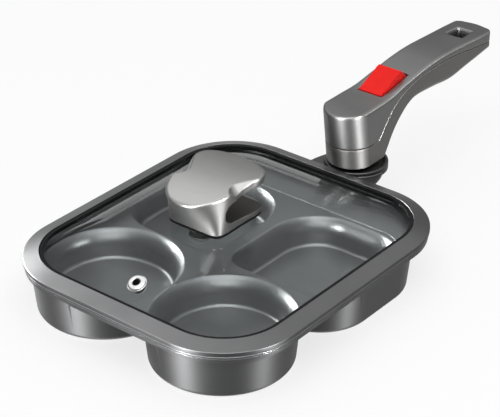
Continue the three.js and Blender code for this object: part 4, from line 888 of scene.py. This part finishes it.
def on_dome(body):
    """Sets a body turned about the pan's middle square to the dome at the vent."""
    middle = Matrix.Translation(at(0, 0, 0))
    body.data.transform(middle.inverted())
    seat_point = Matrix.Translation(at(0, VENT_Y, dome(vent_share)))
    body.data.transform(seat_point @ Matrix.Rotation(vent_slope, 4, "X"))
    return body


KNOB_SCREW_Y = -29
worked(glass, "DIFFERENCE", on_dome(rod(3.4, -10, 10, 0, 0)), rod(SCREW_BORE, 40, 72, 0, KNOB_SCREW_Y))
clear = Finish(bpy.data.materials.new("clear_glass"))
clear_gloss = clear.add("ShaderNodeBsdfGlossy", {}, {"Color": (1, 1, 1, 1), "Roughness": 0.015})
clear_through = clear.add("ShaderNodeBsdfTransparent", {}, {"Color": (0.955, 0.968, 0.965, 1)})
clear_facing = clear.add("ShaderNodeLayerWeight", {}, {"Blend": 0.5}, "Facing")
clear_shine = clear_facing * clear_facing * clear_facing * clear_facing * clear_facing * 0.6 + 0.01
clear_surface = clear.add("ShaderNodeMixShader", {}, {0: clear_shine, 1: clear_through, 2: clear_gloss})
shown(glass, "lid_dome", clear.show(clear_surface), "lid", "clear_glass", "lid_glass", crease=50)

# Vent: a bright plated eyelet with a stepped flange, which lets out steam. It is clinched through the
# glass, and its bore is painted near-black: a painted shade for the dark hole.
vent_profile = [
    (2.5, -4.5), (5.4, -4.5), (5.4, -3.7), (3.1, -3.7), (3.1, 0.1), (6.9, 0.1), (6.9, 0.8), (5.5, 0.8),
    (5.5, 1.3), (6.2, 1.3), (6.2, 1.8), (5.2, 2.3), (3.2, 2.3), (2.5, 1.6),
]
vent = turned("vent", eased(vent_profile, 0.3, True, 5), 0, 0, 56)
in_bore = [
    (face.center - at(0, 0, face.center.z * 1000)).length < 0.0027 for face in vent.data.polygons
]
on_dome(vent)
bright_plate = plain_steel("bright_plate", (0.8, 0.8, 0.81), (0.9, 0.9, 0.9), 0.12)
shown(vent, "steam_vent", bright_plate, "lid", "bright_metal", "vent_eyelet")
# The bore's faces get a near-black finish, a painted shade.
vent.data.materials.append(plain_steel("vent_bore_painted_shade", (0.02, 0.02, 0.02), (0.03, 0.03, 0.03), 0.5))
vent.data.polygons.foreach_set("material_index", in_bore)

# Knob: a satin cast grip with a straight front, a round-nosed top, thumb scoops at both sides
# and a finger gap that is open towards the handle.
KNOB_BASE = 65.5
KNOB_HEIGHT = 25
KNOB_REAR_RISE = 6.6
KNOB_EDGE = 1.6
KNOB_CROWN = 2
knob_base_half = [
    (0, -40.4), (9.5, -40.4), (18.2, -39.8), (22.2, -37), (23.4, -31), (23.4, -22),
    (23.2, -13.5), (23.4, -5.5), (23.4, 2.5), (20.4, 10.4), (10.6, 14.2), (0, 15),
]
knob_top_half = [
    (0, -53.4), (10.8, -51), (19.4, -43.2), (24.4, -33), (25.4, -24), (25, -15.5),
    (26.8, -7.5), (28.8, -0.5), (26.8, 6.6), (20, 11.8), (10, 14.8), (0, 15.5),
]


def knob_outline(half):
    """A closed smooth line through one half's points and their twins."""
    full = half + [(-x, y) for x, y in reversed(half[1:-1])]
    count = len(full)
    looped = smooth_line([full[(i - 1) % count] for i in range(count + 3)], 8)
    return looped[8 : 8 + 8 * count]


knob_low, knob_high = knob_outline(knob_base_half), knob_outline(knob_top_half)
NOSE, REAR = knob_top_half[0][1], knob_top_half[-1][1]
KNOB_MIDDLE = (NOSE + REAR) / 2


def knob_top(y):
    share = (y - NOSE) / (REAR - NOSE)
    return KNOB_BASE + KNOB_HEIGHT + KNOB_REAR_RISE * share + KNOB_CROWN * 4 * share * (1 - share)


def drawn_in(x, y, middle, amount):
    out = math.hypot(x, y - middle)
    return x - x * amount / out, y - (y - middle) * amount / out


def knob_ring(share, drawn, drop):
    ring = []
    for (x0, y0), (x1, y1) in zip(knob_low, knob_high):
        x, y = x0 + (x1 - x0) * share, y0 + (y1 - y0) * share
        x, y = drawn_in(x, y, KNOB_MIDDLE, drawn)
        ring.append((x, y, KNOB_BASE + (knob_top(y) - drop - KNOB_BASE) * share))
    return ring


knob_levels = [(share, 0, KNOB_EDGE) for share in (0, 0.2, 0.4, 0.6, 0.8)]
knob_levels += [(1, KNOB_EDGE * (1 - x), KNOB_EDGE * (1 - z)) for x, z in arc(0, 0, 1, 0, 0.5, 6)]
knob_rings = [knob_ring(*level) for level in knob_levels]
for share in (0.85, 0.65, 0.45, 0.25, 0.05):
    inner = [
        (x * share, KNOB_MIDDLE + (y - KNOB_MIDDLE) * share)
        for x, y, _ in knob_ring(1, KNOB_EDGE, 0)
    ]
    knob_rings.append([(x, y, knob_top(y)) for x, y in inner])
knob = lofted("knob", knob_rings)

# The finger gap: a round end, from which the floor falls and the ceiling rises.
GAP_END = -24.3
GAP_RADIUS = 7.8
GAP_FALL, GAP_RISE = 0.075, 0.17
GAP_LIP = 12
gap_z = KNOB_BASE + 13.5
gap_mouth = REAR + 20
gap_reach = gap_mouth - GAP_END
gap_line = [
    (gap_mouth - SEAT_Y, gap_z - GAP_RADIUS - GAP_FALL * gap_reach),
    (gap_mouth - SEAT_Y, gap_z + GAP_RADIUS + GAP_RISE * gap_reach),
] + arc(GAP_END - SEAT_Y, gap_z, GAP_RADIUS, 0.5, 1.5, 24)

# A thumb scoop: a flattened ball end on a rod that leans out at the knob's waist.
SCOOP_RADIUS = 20
SCOOP_Y = -25.5
scoop_ball = [(x, 0.6 * z) for x, z in arc(0, 0, SCOOP_RADIUS, -0.5, 0, 24)]
scoop_profile = [(0, scoop_ball[0][1]), *scoop_ball[1:], (SCOOP_RADIUS, 50), (0, 50)]
scoop = turned("scoop", scoop_profile, 0, 0, 72)
scoop.data.transform(Matrix.Translation(-at(0, 0, 0)))
lean = Matrix.Rotation(-0.4, 4, "Z") @ Matrix.Rotation(0.18 - math.pi / 2, 4, "X")
scoop.data.transform(Matrix.Translation(at(32.5, SCOOP_Y, knob_top(SCOOP_Y) + 13.8)) @ lean)
worked(
    knob,
    "DIFFERENCE",
    sidewise("gap", gap_line, 60),
    *both(scoop),
    rod(SCREW_BORE, KNOB_BASE - 1, KNOB_BASE + 4.3, 0, KNOB_SCREW_Y),
)
softened(knob, 0.42, 3)
knob_silver = satin_metal("knob_silver", (0.27, 0.27, 0.266), (0.36, 0.36, 0.354), 0.3, 0.45, 0.6)
shown(knob, "knob_grip", knob_silver, "lid", "satin_metal", "knob_body", crease=60)
# The finger gap's inside faces get a near-black satin: a painted shade for the dark hollow under the knob's
# top.
gap_painted_shade = satin_metal("gap_painted_shade", (0.05, 0.048, 0.045), (0.08, 0.077, 0.072), 0.4, 0.7)
knob.data.materials.append(gap_painted_shade)
GAP_PAINTED_SHADE = GAP_RADIUS + 0.6
for face in knob.data.polygons:
    x, y, z = face.center * 1000 - at(0, 0, 0) * 1000
    reach = max(y - GAP_END, 0)
    bottom, ceiling = gap_z - GAP_PAINTED_SHADE - GAP_FALL * reach, gap_z + GAP_PAINTED_SHADE + GAP_RISE * reach
    if y > -33 and bottom < z < ceiling and (abs(face.normal.z) > 0.5 or face.normal.y > 0.5):
        face.material_index = 1 if y < GAP_LIP else 0

# Knob fixing: a black pad under the knob, a steel boss on the glass, and below the glass a
# washer and a cross-recessed screw.
pad_middle = (knob_base_half[0][1] + knob_base_half[-1][1]) / 2
pad = lofted(
    "pad",
    [[(*drawn_in(x, y, pad_middle, inset), z) for x, y in knob_low] for inset, z in (
        (2.4, 62.3), (0.2, 63.6), (0.2, 64.9), (0.6, 65.2),
    )],
)
COLLAR_RADIUS = 9
worked(
    pad,
    "DIFFERENCE",
    rod(SCREW_BORE, 62, 67, 0, KNOB_SCREW_Y),
    rod(COLLAR_RADIUS + 0.4, 61, 63.4, 0, KNOB_SCREW_Y, 60),
)
shown(pad, "knob_foot", black_plastic, "lid", "black_plastic", "knob_pad")
boss_profile = [(SCREW_BORE, 61.6), (COLLAR_RADIUS, 61.6), (COLLAR_RADIUS, 63.3), (SCREW_BORE, 63.3)]
boss = turned("boss", eased(boss_profile, 0.3, True), 0, KNOB_SCREW_Y)
collar_steel = plain_steel("collar_steel", (0.7, 0.7, 0.69), (0.85, 0.85, 0.84), 0.45, 0.5)
shown(boss, "knob_collar", collar_steel, "lid", "steel", "knob_boss")
low, high = (corner[2] * 1000 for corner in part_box("knob_washer"))
under_profile = [(SCREW_BORE, low), (COLLAR_RADIUS, low), (COLLAR_RADIUS, high), (SCREW_BORE, high)]
under = turned("under", eased(under_profile, 0.3, True), 0, KNOB_SCREW_Y)
shown(under, "knob_under_washer", screw_steel, "lid", "steel", "knob_washer")
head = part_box("knob_screw")[0][2] * 1000
profile = [
    (0, head), (4.6, head), (6.2, head + 1.4), (6.2, head + 3), (2.4, head + 3), (2.4, 69.5), (0, 69.5),
]
screw = turned("screw", eased(profile, 0.5), 0, KNOB_SCREW_Y, 48)
worked(screw, "DIFFERENCE", *cross_slots(3, 0.6, head - 1, head + 1.4, 0, KNOB_SCREW_Y))
shown(screw, "knob_fixing", screw_steel, "lid", "steel", "knob_screw")

# Stage: a plain pale floor under an even studio dome. Soft lamps show in the shiny surfaces, and the
# camera stands at the photograph's angle.
scene = bpy.context.scene
scene.view_settings.view_transform = "Standard"
floor_mesh = bpy.data.meshes.new("floor")
floor_mesh.from_pydata([(-4, -4, 0), (4, -4, 0), (4, 4, 0), (-4, 4, 0)], [], [(0, 1, 2, 3)])
floor = bpy.data.objects.new("floor", floor_mesh)
scene.collection.objects.link(floor)
pale = Finish(bpy.data.materials.new("pale_floor"))
pale_cloud = pale.noise(3, 2.0)
pale_matt = pale.add(
    "ShaderNodeBsdfPrincipled",
    {},
    {
        "Base Color": pale.between(pale_cloud, (0.9, 0.9, 0.9), (0.93, 0.93, 0.93)),
        "Roughness": 0.9,
        "Specular IOR Level": 0.0,
    },
)
pale_white = pale.add("ShaderNodeEmission", {}, {"Color": (1, 1, 1, 1), "Strength": 1.0})
path = {name: pale.add("ShaderNodeLightPath", {}, {}, name) for name in (
    "Is Camera Ray", "Is Glossy Ray", "Is Transmission Ray",
)}
SEEN_WHITE = 0.75
seen = (path["Is Camera Ray"] + path["Is Glossy Ray"] + path["Is Transmission Ray"]) * SEEN_WHITE
pale_surface = pale.add("ShaderNodeMixShader", {}, {0: seen, 1: pale_matt, 2: pale_white})
floor_mesh.materials.append(pale.show(pale_surface))

scene.world = bpy.data.worlds.new("studio")
studio = Finish(scene.world, "ShaderNodeOutputWorld")
studio_way = studio.add("ShaderNodeTexCoord", {}, {}, "Generated")
studio_rise = studio.add("ShaderNodeSeparateXYZ", {}, {"Vector": studio_way}, "Z")
studio_share = studio.add(
    "ShaderNodeMapRange",
    {"interpolation_type": "SMOOTHSTEP"},
    {"Value": studio_rise, "From Min": 0.35, "From Max": 0.75},
)
studio_tone = studio.between(studio_share, (0.15, 0.15, 0.15), (1, 1, 1))
studio_glow = studio.add("ShaderNodeBackground", {}, {"Color": studio_tone, "Strength": 1.0})
studio_white = studio.add("ShaderNodeBackground", {}, {"Color": (1, 1, 1, 1), "Strength": 1.0})
studio_seen = studio.add("ShaderNodeLightPath", {}, {}, "Is Camera Ray")
studio.show(studio.add("ShaderNodeMixShader", {}, {0: studio_seen, 1: studio_glow, 2: studio_white}))


def softbox(name, place, aim, size, power, sheen_only=False, only_on=None):
    """A rectangular soft lamp; one for sheen only shows in shiny surfaces and lights nothing else."""
    lamp = bpy.data.lights.new(name, "AREA")
    lamp.shape = "RECTANGLE"
    lamp.size, lamp.size_y = size
    lamp.energy = power
    box = bpy.data.objects.new(name, lamp)
    box.location = place
    box.rotation_mode = "QUATERNION"
    box.rotation_quaternion = (Vector(aim) - Vector(place)).to_track_quat("-Z", "Y")
    box.visible_diffuse = not sheen_only
    if only_on:
        box.light_linking.receiver_collection = bpy.data.collections.new(name)
        for body in only_on:
            box.light_linking.receiver_collection.objects.link(body)
    scene.collection.objects.link(box)


castings, shells = [pan, ring], [upper, lower, knob]
softbox("overhead", (0.35, -0.5, 1.5), (0, 0, 0), (1.5, 1.2), 9)
softbox("front_sheen", (0.5, -0.7, 1.05), (0, 0, 0), (0.8, 0.45), 2.6, True)
softbox("well_sheen", (0.62, -0.87, 0.45), (0, 0, 0.02), (0.8, 0.5), 5, True, [pan])
softbox("corner_sheen", (-1.12, -0.2, 0.42), (0, -0.05, 0.03), (0.6, 0.55), 46, True, castings)
softbox("edge_sheen", (0.75, 0.95, 0.8), (0, 0, 0), (0.5, 0.3), 2, True, [upper, lower])
softbox("knob_sheen", (-0.7, 0.5, 1.25), (0, 0, 0.09), (0.4, 0.4), 1.1, True, [knob])
softbox("cup_left", (-0.13, -1.22, 0.09), (0, 0, 0.05), (0.2, 0.17), 78, True, castings + [boss])
softbox("cup_right", (1.2, -0.08, 0.09), (0, 0, 0.05), (0.2, 0.17), 50, True, castings)
softbox("grip_left", (0.1, -1.2, 0.3), (0, 0, 0.07), (0.3, 0.5), 105, True, shells)
softbox("grip_right", (1.2, -0.2, 0.3), (0, 0, 0.07), (0.16, 0.5), 60, True, shells)

eye = bpy.data.cameras.new("eye")
eye.sensor_width = 36
eye.lens = 127.516
eye.shift_x = -0.0023
eye.clip_end = 50
camera = bpy.data.objects.new("camera", eye)
right = Vector((0.7778, 0.6286, 0))
up = Vector((-0.3119, 0.3859, 0.8682))
ahead = Vector((-0.5457, 0.6753, -0.4962))
turn = Matrix((right, up, -ahead)).transposed()
camera.matrix_world = Matrix.Translation(at(678.8, -815.6, 669)) @ turn.to_4x4()
scene.collection.objects.link(camera)
scene.camera = camera

bpy.context.view_layer.update()
